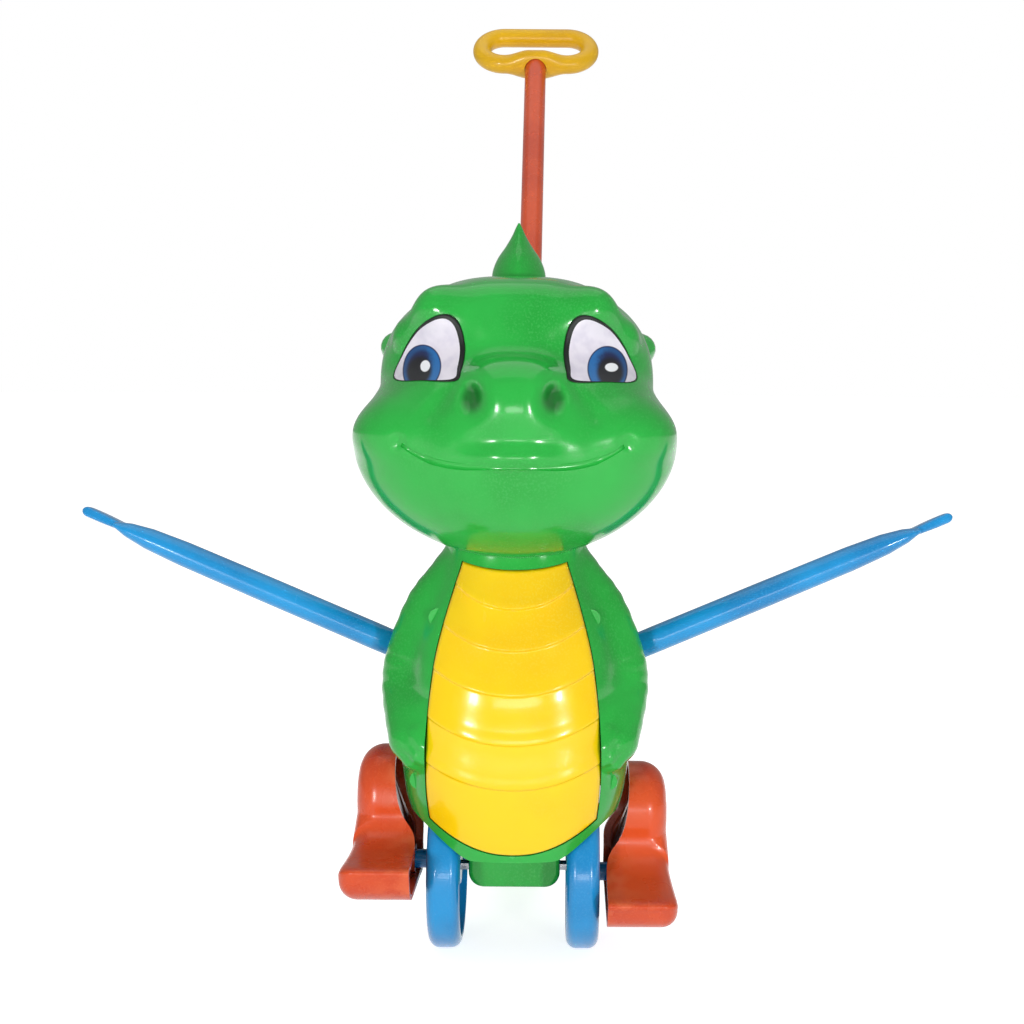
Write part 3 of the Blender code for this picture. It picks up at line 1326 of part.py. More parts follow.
def build():
    """Builds every piece of the toy."""
    green = material("green_plastic", (0.045, 0.42, 0.085), 0.16)
    yellow = material("yellow_plastic", (0.95, 0.62, 0.01), 0.18)
    blue = material("blue_plastic", (0.02, 0.23, 0.56), 0.22)
    red = material("red_plastic", (0.56, 0.075, 0.022), 0.22)
    handle_yellow = material("handle_plastic", (0.78, 0.45, 0.02), 0.25)
    white = material("white_print", (0.78, 0.76, 0.82), 0.20)
    steel = material("steel", (0.55, 0.56, 0.58), 0.25, 1.0)
    grey = material("grey_plastic", (0.35, 0.36, 0.37), 0.35)

    front_head = head_half("head_front_shell", -1.0, FRONT_RINGS, green)
    back_head = head_half("head_back_shell", 1.0, BACK_RINGS, green)
    neck = solid_skin("neck_cutter", torso_field, 0.84 * TORSO_TOP, 1.05 * TORSO_TOP, SEAT_GAP)
    cut(front_head, neck)
    cut(back_head, neck)
    cut(front_head, smile_groove())
    for side, tag in ((1.0, "left"), (-1.0, "right")):
        eye_plate(f"eye_label_{tag}", side, 0.0, EYE_PLATE, 0.0, white)
        floor = EYE_PLATE + 1.5 * SEAT_GAP
        cut(front_head, eye_plate(f"eye_pocket_{tag}", side, -2.0 * WALL, floor, SEAT_GAP))

    roof_ray = np.array([[0.0, 0.0, 1.0]])
    roof_start = np.array([[0.0, CREST_Y, HEAD_MIDDLE]])
    roof = HEAD_MIDDLE + float(crossing(head_field, roof_start, roof_ray, 0.0, REACH)[0])
    spike = crest(green, roof)
    crown = head_cutter("crown_cutter", SEAT_GAP)
    cut(spike, crown)
    peg_low = roof - CREST_PEG_LENGTH
    join(
        spike,
        rod("crest_peg", (0.0, CREST_Y, peg_low), (0.0, CREST_Y, roof + WALL), CREST_PEG_RADIUS, 14),
    )
    cut(
        back_head,
        rod(
            "crest_hole", (0.0, CREST_Y, roof - 2.0 * CREST_PEG_LENGTH),
            (0.0, CREST_Y, roof + CREST_PEG_LENGTH), CREST_PEG_RADIUS + SEAT_GAP, 14,
        ),
    )

    front_torso = torso_half("torso_front_shell", -1.0, green)
    back_torso = torso_half("torso_back_shell", 1.0, green)
    screws(front_torso, back_torso, steel)
    cut(front_torso, belly_window())
    belly_plate(yellow)

    drop = math.tan(WING_SWING - WING_LIFT)
    for side in (-1, 1):
        out = WING_HINGE_X + WING_NECK_LENGTH
        high = WING_HINGE_Z + WING_NECK_LENGTH * math.tan(WING_LIFT) + WING_SPAR_HALF / math.cos(WING_LIFT)
        low = WING_HINGE_Z - WING_NECK_LENGTH * drop - WING_SPAR_HALF / math.cos(WING_SWING - WING_LIFT)
        ends = sorted((side * (WING_HINGE_X + LIFTER_PAD_REACH), side * 2.0 * out))
        deep = WING_NECK_HALF + SLOT_CLEAR
        slot = box(
            f"wing_slot_{side + 2}", (ends[0], WING_HINGE_Y - deep, low - SLOT_CLEAR),
            (ends[1], WING_HINGE_Y + deep, high + SLOT_CLEAR),
        )
        cut(back_torso, slot)
        inside = back_depth(torso_core, side * BRACKET_POST_X, WING_HINGE_Z, -WALL / 2.0)
        plate = WING_HINGE_Y + WING_NECK_HALF + RUN_GAP + BRACKET_PLATE + SEAT_GAP
        post = rod(
            f"bracket_post_{side + 2}", (side * BRACKET_POST_X, plate, WING_HINGE_Z),
            (side * BRACKET_POST_X, inside, WING_HINGE_Z), BRACKET_POST_RADIUS, 14,
        )
        join(back_torso, post)
    hole = turned(
        "stick_hole",
        [
            (-SOCKET_LENGTH, 0.0), (-SOCKET_LENGTH, SOCKET_RADIUS + SEAT_GAP),
            (3.0 * SOCKET_LENGTH, SOCKET_RADIUS + SEAT_GAP), (3.0 * SOCKET_LENGTH, 0.0),
        ],
        stick_frame(), 24,
    )
    cut(back_torso, hole)

    carrier(green)
    tail(green)
    axle_shaft(steel)
    for side, tag in ((1, "left"), (-1, "right")):
        wheel(f"wheel_{tag}", side, blue)
        foot(f"foot_{tag}", side, red)
        wing(f"wing_{tag}", side, blue)
        reach = WING_NECK_HALF + RUN_GAP + BRACKET_PLATE
        rod(
            f"wing_pin_{tag}", (side * WING_HINGE_X, WING_HINGE_Y - reach, WING_HINGE_Z),
            (side * WING_HINGE_X, WING_HINGE_Y + reach, WING_HINGE_Z), HINGE_PIN_RADIUS, 16, steel,
        )
    bracket(grey)
    lifter(grey)
    socket(green)
    sticks(red)
    handle(handle_yellow)
    centre_over_box()


def head_cutter(name, level):
    """A closed body just outside the crown of the head, for fitting the crest."""
    start = np.array((0.0, CREST_Y, HEAD_MIDDLE))
    sections = []
    for tilt in np.linspace(0.10 * math.pi, 0.02, 9):
        turn = np.linspace(0.0, 2.0 * math.pi, 32, endpoint=False)
        directions = np.stack(
            [np.sin(tilt) * np.cos(turn), np.sin(tilt) * np.sin(turn), np.cos(tilt) + 0.0 * turn], axis=-1
        )
        reach = crossing(head_field, start, directions, 0.0, REACH, level)
        sections.append(list(start + directions * reach[:, None]))
    bottom = [tuple(start + 0.4 * (np.array(spot) - start)) for spot in sections[0]]
    return lofted(name, [bottom] + sections)


for leftover in list(bpy.data.objects):
    bpy.data.objects.remove(leftover)
build()
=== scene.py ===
"""The dressed model of a toddler push toy: a plastic dragon on two wheels with a stick behind it.

Metres, +Z up, the face looks along -Y and the toy's left side is +X. Each class measures Y from the
wheel axle and Z from the floor, and the workbench moves what it makes into the frame.
"""

import json
import logging
import math
from dataclasses import dataclass, replace
from enum import Enum
from typing import Callable, Optional, Sequence, Union

import bmesh
import bpy
import numpy as np
from mathutils import Matrix, Vector

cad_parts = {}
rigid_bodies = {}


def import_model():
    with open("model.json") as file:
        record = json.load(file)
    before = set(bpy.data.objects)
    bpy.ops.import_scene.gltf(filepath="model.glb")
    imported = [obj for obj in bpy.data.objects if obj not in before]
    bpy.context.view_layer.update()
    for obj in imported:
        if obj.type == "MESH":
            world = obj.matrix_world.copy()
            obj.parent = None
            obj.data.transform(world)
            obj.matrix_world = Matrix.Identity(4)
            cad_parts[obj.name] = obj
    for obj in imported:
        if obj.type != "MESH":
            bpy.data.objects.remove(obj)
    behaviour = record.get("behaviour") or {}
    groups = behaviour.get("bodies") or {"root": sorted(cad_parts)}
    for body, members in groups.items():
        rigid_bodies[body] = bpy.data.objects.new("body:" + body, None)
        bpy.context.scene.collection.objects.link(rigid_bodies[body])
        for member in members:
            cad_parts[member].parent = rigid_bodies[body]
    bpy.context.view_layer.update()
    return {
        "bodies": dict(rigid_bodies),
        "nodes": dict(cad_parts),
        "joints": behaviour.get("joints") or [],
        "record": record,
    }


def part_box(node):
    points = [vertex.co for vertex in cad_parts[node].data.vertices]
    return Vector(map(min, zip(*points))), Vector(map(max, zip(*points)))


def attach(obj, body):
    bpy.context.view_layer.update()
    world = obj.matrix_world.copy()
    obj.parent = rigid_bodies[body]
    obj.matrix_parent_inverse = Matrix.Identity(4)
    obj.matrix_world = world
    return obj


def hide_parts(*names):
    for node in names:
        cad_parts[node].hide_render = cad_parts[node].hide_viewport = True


LOG = logging.getLogger("push_toy")

Array = np.ndarray
Colour = tuple[float, float, float]
Field = Callable[[Array], Array]
Piece = bpy.types.Object
Surface = bpy.types.Material
Socket = bpy.types.NodeSocket
Value = Union[float, Colour, Socket]

# Metres: the gaps of seated and of moving parts, the shells' wall, the small rounding of rims and
# how far a boring tool reaches past its seat.
SEAT_GAP = 0.0003
RUN_GAP = 0.0005
WALL = 0.0024
RIM_ROUND = 0.0008
THROUGH = 0.08
# How far a ray is followed from inside a body, and how often that length is halved.
REACH = 0.5
HALVINGS = 24
SHARP_ANGLE = math.radians(34.0)


class Half(Enum):
    """The two halves of a shell, valued by the way that each faces along Y."""

    FRONT = -1.0
    BACK = 1.0


class Side(Enum):
    """The two sides of the toy, valued by the sign of X."""

    RIGHT = -1.0
    LEFT = 1.0

    @property
    def tag(self) -> str:
        """The side's word in the names of pieces."""
        return self.name.lower()


class Cut(Enum):
    """What a tool does to the body it meets."""

    TAKE = "DIFFERENCE"
    JOIN = "UNION"


class Sum(Enum):
    """The arithmetic that a finish uses."""

    ADD = "ADD"
    LESS = "SUBTRACT"
    TIMES = "MULTIPLY"
    OVER = "DIVIDE"
    ROOT = "SQRT"
    SIZE = "ABSOLUTE"
    HIGHEST = "MAXIMUM"


Tools = list[tuple[Piece, Cut]]
Profile = list[tuple[float, float]]


def follow(places: Array, knots: Sequence[float], values: Sequence[float]) -> Array:
    """Evaluates a smooth curve through knots.

    Args:
        places: Where the curve is wanted.
        knots: Rising positions of the curve's points.
        values: The value at each knot.

    Returns:
        The value at each place, held constant outside the knots.
    """
    knots, values = np.asarray(knots, float), np.asarray(values, float)
    slopes = np.gradient(values, knots)
    places = np.clip(places, knots[0], knots[-1])
    index = np.clip(np.searchsorted(knots, places) - 1, 0, len(knots) - 2)
    span = knots[index + 1] - knots[index]
    t = (places - knots[index]) / span
    rise = values[index + 1] - values[index]
    first, second = slopes[index] * span, slopes[index + 1] * span
    return (
        values[index]
        + t * first
        + t * t * (3 * rise - 2 * first - second)
        + t**3 * (first + second - 2 * rise)
    )


def soft_union(first: Array, second: Array, width: float) -> Array:
    """Joins two fields with a fillet.

    Args:
        first: A field, negative inside its body.
        second: Another field at the same points.
        width: How far from the seam the fillet reaches.

    Returns:
        The field of both bodies together.
    """
    near = np.maximum(width - np.abs(first - second), 0.0) / width
    return np.minimum(first, second) - near * near * width / 4.0


def ease(value: Array, low: float, high: float) -> Array:
    """Goes smoothly from zero at the low end to one at the high end.

    Args:
        value: The values to ease.
        low: Where the result leaves zero.
        high: Where the result reaches one.

    Returns:
        The eased values.
    """
    t = np.clip((value - low) / (high - low), 0.0, 1.0)
    return t * t * (3.0 - 2.0 * t)


def oval_field(
    points: Array, centre: Array, radii: Array, power: float, lower: Optional[float] = None
) -> Array:
    """A field that is negative inside a rounded box or egg.

    Args:
        points: Where the field is wanted.
        centre: The centre of the body.
        radii: Its half sizes.
        power: Two for an ellipsoid, more for squarer shoulders.
        lower: The half height below the centre, if it differs.

    Returns:
        Roughly the distance from the surface.
    """
    offset = points - centre
    upright = np.where(offset[..., 2] < 0, lower or radii[2], radii[2])
    reach = (
        np.abs(offset[..., 0] / radii[0]) ** power
        + np.abs(offset[..., 1] / radii[1]) ** power
        + np.abs(offset[..., 2] / upright) ** power
    ) ** (1.0 / power)
    return (reach - 1.0) * min(radii)


def limb_field(points: Array, ends: Array, radii: Sequence[float]) -> Array:
    """A field that is negative inside a rounded limb.

    Args:
        points: Where the field is wanted.
        ends: The middles of its two ends.
        radii: The radius at each end.

    Returns:
        The distance from the limb's surface.
    """
    start, axis = ends[0], ends[1] - ends[0]
    share = np.clip(((points - start) @ axis) / (axis @ axis), 0.0, 1.0)
    radius = radii[0] + share * (radii[1] - radii[0])
    return np.linalg.norm(points - (start + share[..., None] * axis), axis=-1) - radius


def chain_field(points: Array, spots: Array, radii: Array, width: float) -> Array:
    """A field of limbs in a row with soft joints.

    Args:
        points: Where the field is wanted.
        spots: The joints in order.
        radii: The radius at each joint.
        width: The fillet at each joint.

    Returns:
        The field of the whole chain.
    """
    found = limb_field(points, spots[:2], radii[:2])
    for index in range(1, len(spots) - 1):
        limb = limb_field(points, spots[index : index + 2], radii[index : index + 2])
        found = soft_union(found, limb, width)
    return found


def joined(*parts: Union[Array, float]) -> Array:
    """Points from their coordinates, each stretched to the arrangement of all."""
    return np.stack(np.broadcast_arrays(*parts), axis=-1)


def circle(count: int) -> Array:
    """Equal steps of angle all the way round."""
    return np.linspace(0.0, 2.0 * math.pi, count, endpoint=False)


def corner(radius: float, steps: int) -> Profile:
    """How far a rounded corner stays away from its two sides, from one side to the other."""
    angles = np.linspace(0.0, math.pi / 2.0, steps)
    return [(radius * (1.0 - math.sin(a)), radius * (1.0 - math.cos(a))) for a in angles]


def plug(low: float, high: float, radius: float) -> Profile:
    """The profile of a plain cylinder between two heights on its axis."""
    return [(low, 0.0), (low, radius), (high, radius), (high, 0.0)]


def mirrored(points: Array) -> Array:
    """The points with X made positive, for shapes that are alike on both sides."""
    return joined(np.abs(points[..., 0]), points[..., 1], points[..., 2])


def crossing(shape: Field, starts: Array, directions: Array, level: float = 0.0) -> Array:
    """Finds where rays leave a body.

    Args:
        shape: The body's field.
        starts: Where the rays start, inside the body.
        directions: Unit directions of the rays.
        level: The level of the field that counts as the surface.

    Returns:
        The distance along each ray.
    """
    low = np.zeros(directions.shape[:-1])
    high = np.full(directions.shape[:-1], REACH)
    for _ in range(HALVINGS):
        middle = (low + high) / 2.0
        inside = shape(starts + directions * middle[..., None]) < level
        low = np.where(inside, middle, low)
        high = np.where(inside, high, middle)
    return (low + high) / 2.0


def depth_at(
    shape: Field, across: Array, height: Array, half: Half = Half.FRONT, level: float = 0.0
) -> Array:
    """The Y of the front or the back of a body.

    Args:
        shape: The body's field.
        across: The X of each place.
        height: The Z of each place.
        half: Which half of the body is looked at.
        level: The level of the field that counts as the surface.

    Returns:
        The Y of each place.
    """
    starts = joined(across, 0.0, height)
    ahead = np.broadcast_to(np.array((0.0, half.value, 0.0)), starts.shape)
    return half.value * crossing(shape, starts, ahead, level)


def smooth_outline(spots: Sequence[Sequence[float]], repeats: int) -> Array:
    """A closed smooth curve through points.

    Args:
        spots: The points in order.
        repeats: How many steps lead from one point to the next.

    Returns:
        The points of the curve.
    """
    spots = np.asarray(spots, float)
    before, after, beyond = (np.roll(spots, shift, axis=0) for shift in (1, -1, -2))
    found = []
    for step in range(repeats):
        t = step / repeats
        found.append(
            0.5
            * (
                2 * spots
                + (after - before) * t
                + (2 * before - 5 * spots + 4 * after - beyond) * t * t
                + (3 * spots - before - 3 * after + beyond) * t**3
            )
        )
    return np.stack(found, axis=1).reshape(-1, spots.shape[1])


def axis_frame(start: Sequence[float], direction: Sequence[float]) -> Matrix:
    """A frame that starts at a point and has its Z axis along a direction.

    Args:
        start: The origin of the frame.
        direction: Where its Z axis points.

    Returns:
        The frame as a matrix.
    """
    turn = Vector(direction).to_track_quat("Z", "Y").to_matrix().to_4x4()
    return Matrix.Translation(Vector(start)) @ turn


def moved(frame: Matrix, points: Array) -> Array:
    """The points carried by a frame."""
    matrix = np.array(frame)
    return points @ matrix[:3, :3].T + matrix[:3, 3]


class Draft:
    """Points and faces gathered for one mesh, in the toy's own measure from the axle."""

    shift = Vector((0.0, 0.0, 0.0))

    def __init__(self) -> None:
        """Starts an empty draft."""
        self.points: list[Array] = []
        self.faces: list[tuple[int, ...]] = []
        self.bands: list[int] = []
        self.count = 0

    def add(self, points: Array) -> Array:
        """Adds points.

        Args:
            points: An array of points in any arrangement.

        Returns:
            The number of each point, in the same arrangement.
        """
        points = np.asarray(points, float)
        flat = points.reshape(-1, 3)
        numbers = np.arange(self.count, self.count + len(flat))
        self.points.append(flat)
        self.count += len(flat)
        return numbers.reshape(points.shape[:-1])

    def skin(self, grid: Array, ring: bool = False, loop: bool = False, band: int = 0) -> None:
        """Covers a grid of points with quads.

        Args:
            grid: The point numbers by row and column.
            ring: Whether the last column joins the first.
            loop: Whether the last row joins the first.
            band: The material slot of the quads.
        """
        if ring:
            grid = np.concatenate([grid, grid[:, :1]], axis=1)
        if loop:
            grid = np.concatenate([grid, grid[:1]], axis=0)
        quads = np.stack([grid[:-1, :-1], grid[:-1, 1:], grid[1:, 1:], grid[1:, :-1]], axis=-1)
        quads = quads.reshape(-1, 4).tolist()
        self.faces.extend(map(tuple, quads))
        self.bands.extend([band] * len(quads))

    def face(self, numbers: Sequence[int], band: int = 0) -> None:
        """Adds one face by the numbers of its points, in a material slot."""
        self.faces.append(tuple(int(number) for number in numbers))
        self.bands.append(band)

    def fan(self, edge: Array, hub: int, band: int = 0) -> None:
        """Closes a ring with triangles round one point.

        Args:
            edge: The point numbers of the ring.
            hub: The number of the middle point.
            band: The material slot of the triangles.
        """
        for here, after in zip(edge, np.roll(edge, -1)):
            self.face((hub, here, after), band)

    def cap(self, edge: Array) -> None:
        """Closes a ring with triangles round its middle."""
        middle = np.concatenate(self.points)[edge].mean(axis=0)
        self.fan(edge, self.add(middle[None])[0])

    def make(self, name: str, *surfaces: Surface, smooth: bool = True) -> Piece:
        """Turns the draft into an object.

        Args:
            name: The name of the piece.
            *surfaces: The materials of its slots.
            smooth: Whether its faces are shaded smooth.

        Returns:
            The new object, its faces looking outwards.
        """
        mesh = bpy.data.meshes.new(name)
        placed = np.concatenate(self.points) + np.array(self.shift)
        mesh.from_pydata(placed.tolist(), [], self.faces)
        mesh.polygons.foreach_set("material_index", self.bands)
        work = bmesh.new()
        work.from_mesh(mesh)
        bmesh.ops.recalc_face_normals(work, faces=work.faces)
        if work.calc_volume(signed=True) < 0:
            bmesh.ops.reverse_faces(work, faces=work.faces)
        for face in work.faces:
            face.smooth = smooth
        work.to_mesh(mesh)
        work.free()
        for surface in surfaces:
            mesh.materials.append(surface)
        made = bpy.data.objects.new(name, mesh)
        bpy.context.scene.collection.objects.link(made)
        return made


def lofted(
    name: str, sections: Array, *surfaces: Surface, loop: bool = False, smooth: bool = True
) -> Piece:
    """A body through ring sections.

    Args:
        name: The name of the piece.
        sections: Points by section and step.
        *surfaces: The materials of its slots.
        loop: Whether the last section joins the first.
        smooth: Whether its faces are shaded smooth.

    Returns:
        The new object.
    """
    draft = Draft()
    grid = draft.add(np.asarray(sections, float))
    draft.skin(grid, ring=True, loop=loop)
    if not loop:
        draft.cap(grid[0])
        draft.cap(grid[-1])
    return draft.make(name, *surfaces, smooth=smooth)


def turned(
    name: str, profile: Profile, frame: Matrix, segments: int, *surfaces: Surface
) -> Piece:
    """A turned body.

    Args:
        name: The name of the piece.
        profile: Distances along the axis and radii, closed unless both ends lie on the axis.
        frame: The frame whose Z axis is turned round.
        segments: How many sides it gets.
        *surfaces: The materials of its slots.

    Returns:
        The new object.
    """
    solid = profile[0][1] == 0 and profile[-1][1] == 0
    turns = np.array(profile[1:-1] if solid else profile, float)
    along, radius, angle = turns[:, :1], turns[:, 1:], circle(segments)
    spots = joined(radius * np.cos(angle), radius * np.sin(angle), along)
    return lofted(name, moved(frame, spots), *surfaces, loop=not solid)


def rod(
    name: str, start: Sequence[float], end: Sequence[float], radius: float, segments: int = 32,
    *surfaces: Surface,
) -> Piece:
    """A round rod between two points.

    Args:
        name: The name of the piece.
        start: The middle of one end.
        end: The middle of the other end.
        radius: The radius.
        segments: How many sides it gets.
        *surfaces: The materials of its slots.

    Returns:
        The new object.
    """
    along = Vector(end) - Vector(start)
    profile = plug(0.0, along.length, radius)
    return turned(name, profile, axis_frame(start, along), segments, *surfaces)


def block(
    name: str, low: Sequence[float], high: Sequence[float], *surfaces: Surface
) -> Piece:
    """A block between two corners, used as a tool or as part of a body.

    Args:
        name: The name of the piece.
        low: Its lowest corner.
        high: Its highest corner.
        *surfaces: The materials of its slots.

    Returns:
        The new object.
    """
    square = np.array([(low[0], low[1]), (high[0], low[1]), (high[0], high[1]), (low[0], high[1])])
    sections = [np.column_stack([square, np.full(4, z)]) for z in (low[2], high[2])]
    return lofted(name, sections, *surfaces, smooth=False)


def swept(
    name: str, spots: Array, radii: Sequence[float], segments: int, *surfaces: Surface,
    up: Sequence[float] = (0.0, 0.0, 1.0),
) -> Piece:
    """A round bar along a line.

    Args:
        name: The name of the piece.
        spots: The points of the line.
        radii: The radius at each point.
        segments: How many sides it gets.
        *surfaces: The materials of its slots.
        up: A direction that the line never takes.

    Returns:
        The new object.
    """
    spots = np.asarray(spots, float)
    ahead = np.gradient(spots, axis=0)
    ahead /= np.linalg.norm(ahead, axis=1)[:, None]
    side = np.cross(ahead, np.asarray(up, float))
    side /= np.linalg.norm(side, axis=1)[:, None]
    lift = np.cross(side, ahead)
    angle = circle(segments)[None, :, None]
    ring = np.cos(angle) * side[:, None] + np.sin(angle) * lift[:, None]
    return lofted(name, spots[:, None] + np.asarray(radii)[:, None, None] * ring, *surfaces)


def shaped(target: Piece, tools: Tools, sharp: float = SHARP_ANGLE) -> Piece:
    """Joins and cuts a body with tools, then clears the tools away.

    Args:
        target: The body.
        tools: Each tool with what it does.
        sharp: The angle from which an edge is shaded sharp.

    Returns:
        The same body with its final mesh.
    """
    for tool, operation in tools:
        step = target.modifiers.new(tool.name, "BOOLEAN")
        step.operation = operation.value
        step.solver = "EXACT"
        step.object = tool
    bpy.context.view_layer.update()
    graph = bpy.context.evaluated_depsgraph_get()
    mesh = bpy.data.meshes.new_from_object(target.evaluated_get(graph))
    target.modifiers.clear()
    target.data = mesh
    mesh.name = target.name
    mesh.set_sharp_from_angle(angle=sharp)
    for tool, _ in tools:
        bpy.data.objects.remove(tool)
    return target


class NodeSheet:
    """The nodes of one material, with short calls for adding and joining them."""

    def __init__(self, name: str) -> None:
        """Starts a material.

        Args:
            name: The material's name.
        """
        self.material = bpy.data.materials.new(name)
        self.material.use_nodes = True
        self.tree = self.material.node_tree
        self.shader = self.tree.nodes["Principled BSDF"]
        self.place = self.add("ShaderNodeTexCoord").outputs["Object"]

    def add(self, kind: str, **settings: object) -> bpy.types.Node:
        """Adds a node.

        Args:
            kind: The node's type.
            **settings: Its properties.

        Returns:
            The new node.
        """
        node = self.tree.nodes.new(kind)
        for key, value in settings.items():
            setattr(node, key, value)
        return node

    def feed(self, socket: Socket, value: Value) -> None:
        """Sets a socket or joins another one to it.

        Args:
            socket: The socket that is fed.
            value: A number, a colour or a socket.
        """
        if isinstance(value, bpy.types.NodeSocket):
            self.tree.links.new(value, socket)
        elif isinstance(value, tuple) and len(value) == 3 and socket.type == "RGBA":
            socket.default_value = (*value, 1.0)
        else:
            socket.default_value = value

    def math(self, operation: Sum, first: Value, second: Value = 0.0) -> Socket:
        """Adds arithmetic.

        Args:
            operation: What it does.
            first: The first value.
            second: The second value.

        Returns:
            The result.
        """
        node = self.add("ShaderNodeMath", operation=operation.value)
        self.feed(node.inputs[0], first)
        self.feed(node.inputs[1], second)
        return node.outputs[0]

    def spread(
        self, value: Value, low: float, high: float, start: float = 0.0, end: float = 1.0
    ) -> Socket:
        """Stretches a value smoothly from one range to another.

        Args:
            value: The value.
            low: Where the first range starts.
            high: Where it ends.
            start: The result at the low end.
            end: The result at the high end.

        Returns:
            The stretched value.
        """
        node = self.add("ShaderNodeMapRange", interpolation_type="SMOOTHSTEP")
        for socket, given in zip(node.inputs, (value, low, high, start, end)):
            self.feed(socket, given)
        return node.outputs[0]

    def mix(self, share: Value, first: Value, second: Value) -> Socket:
        """Mixes two colours.

        Args:
            share: How much of the second colour shows.
            first: The first colour.
            second: The second colour.

        Returns:
            The mixed colour.
        """
        node = self.add("ShaderNodeMix", data_type="RGBA")
        self.feed(node.inputs[0], share)
        self.feed(node.inputs[6], first)
        self.feed(node.inputs[7], second)
        return node.outputs[2]

    def noise(
        self, scale: float, detail: float = 2.0, stretch: Sequence[float] = (1.0, 1.0, 1.0)
    ) -> Socket:
        """Adds noise in the piece's own measure.

        Args:
            scale: How many waves there are to the metre.
            detail: How many finer layers it has.
            stretch: The factors of its scale along X, Y and Z.

        Returns:
            The noise, near a half on average.
        """
        mapping = self.add("ShaderNodeMapping")
        mapping.inputs["Scale"].default_value = stretch
        self.feed(mapping.inputs["Vector"], self.place)
        node = self.add("ShaderNodeTexNoise")
        self.feed(node.inputs["Vector"], mapping.outputs["Vector"])
        self.feed(node.inputs["Scale"], scale)
        self.feed(node.inputs["Detail"], detail)
        return node.outputs["Fac"]

    def coordinates(self) -> tuple[Socket, ...]:
        """The X, Y and Z of each point, in the piece's own measure."""
        split = self.add("ShaderNodeSeparateXYZ")
        self.feed(split.inputs[0], self.place)
        return tuple(split.outputs)

    def oval(self, across: Socket, up: Socket, place: tuple, radii: tuple) -> Socket:
        """Measures how far out of an ellipse each point lies.

        Args:
            across: The first coordinate.
            up: The second coordinate.
            place: The middle of the ellipse.
            radii: Its radii.

        Returns:
            One on the ellipse, less inside it.
        """
        total = None
        for value, middle, radius in zip((across, up), place, radii):
            part = self.math(Sum.OVER, self.math(Sum.LESS, value, middle), radius)
            part = self.math(Sum.TIMES, part, part)
            total = part if total is None else self.math(Sum.ADD, total, part)
        return self.math(Sum.ROOT, total)

    def bump(self, height: Socket, strength: float, distance: float) -> None:
        """Adds a bump to the surface.

        Args:
            height: The relief.
            strength: How strongly it shows.
            distance: How deep it is, in metres.
        """
        node = self.add("ShaderNodeBump")
        self.feed(node.inputs["Strength"], strength)
        self.feed(node.inputs["Distance"], distance)
        self.feed(node.inputs["Height"], height)
        self.feed(self.shader.inputs["Normal"], node.outputs["Normal"])

    def dress(self, **sockets: Value) -> Surface:
        """Feeds the shader.

        Args:
            **sockets: Values by the names of the shader's sockets, spaces written as underscores.

        Returns:
            The finished material.
        """
        for name, value in sockets.items():
            self.feed(self.shader.inputs[name.replace("_", " ")], value)
        return self.material


@dataclass(frozen=True)
class MouldedPlastic:
    """Glossy moulded plastic with cloudy pigment, rubbed edges, hairline scuffs and fine grain, and
    optional ovals of painted shade.
    """

    name: str
    colour: Colour
    deep: Colour
    rubbed: Colour
    roughness: float = 0.13
    coat: float = 0.15
    shine: float = 0.36
    cloud_scale: float = 24.0
    speck_scale: float = 1300.0
    speck_share: float = 0.22
    wear_scale: float = 140.0
    wear_share: float = 0.55
    scuff_scale: float = 420.0
    scuff_patches: float = 30.0
    dull_scale: float = 70.0
    dull_range: float = 0.07
    peel_scale: float = 260.0
    peel_depth: float = 0.0006
    grain: float = 0.05
    # Ovals in |X| and Z painted darker, as painted shade where shadow falls in hollows such as the
    # nostrils, and how dark that paint gets.
    shades: tuple = ()
    shade_depth: float = 0.25

    def material(self) -> Surface:
        """Builds the finish.

        Returns:
            The material.
        """
        sheet = NodeSheet(self.name)
        cloud = sheet.spread(sheet.noise(self.cloud_scale, 3.0), 0.36, 0.66)
        speck = sheet.spread(sheet.noise(self.speck_scale, 1.0), 0.45, 0.75, 0.0, self.speck_share)
        colour = sheet.mix(cloud, self.colour, self.deep)
        colour = sheet.mix(sheet.math(Sum.TIMES, speck, cloud), colour, self.rubbed)
        point = sheet.add("ShaderNodeNewGeometry").outputs["Pointiness"]
        patch = sheet.spread(sheet.noise(self.wear_scale, 3.0), 0.42, 0.66)
        wear = sheet.math(Sum.TIMES, sheet.spread(point, 0.53, 0.62), patch)
        colour = sheet.mix(sheet.math(Sum.TIMES, wear, self.wear_share), colour, self.rubbed)
        # Painted shade: each oval is darkened towards a dimmed copy of the deep colour, standing in
        # for the shadow that falls in a hollow.
        if self.shades:
            x, _, z = sheet.coordinates()
            wide = sheet.math(Sum.SIZE, x)
            dark = tuple(self.shade_depth * value for value in self.deep)
        for place, radii, share in self.shades:
            away = sheet.oval(wide, z, place, radii)
            colour = sheet.mix(sheet.spread(away, 0.5, 1.25, share, 0.0), colour, dark)
        scuff = sheet.spread(sheet.noise(self.scuff_scale, 2.0, (1.0, 1.0, 0.04)), 0.62, 0.78)
        patch = sheet.spread(sheet.noise(self.scuff_patches, 2.0), 0.5, 0.7)
        scuff = sheet.math(Sum.TIMES, scuff, patch)
        dullest = self.roughness + self.dull_range
        rough = sheet.spread(sheet.noise(self.dull_scale, 3.0), 0.3, 0.7, self.roughness, dullest)
        for mark, share in ((wear, 0.14), (scuff, 0.12)):
            rough = sheet.math(Sum.ADD, rough, sheet.math(Sum.TIMES, mark, share))
        peel = sheet.noise(self.peel_scale, 2.0)
        peel = sheet.math(Sum.ADD, peel, sheet.math(Sum.TIMES, scuff, -0.25))
        sheet.bump(peel, self.grain, self.peel_depth)
        return sheet.dress(
            Base_Color=colour, Roughness=rough, Coat_Weight=self.coat, Coat_Roughness=0.04,
            IOR=1.5, Specular_IOR_Level=self.shine,
        )


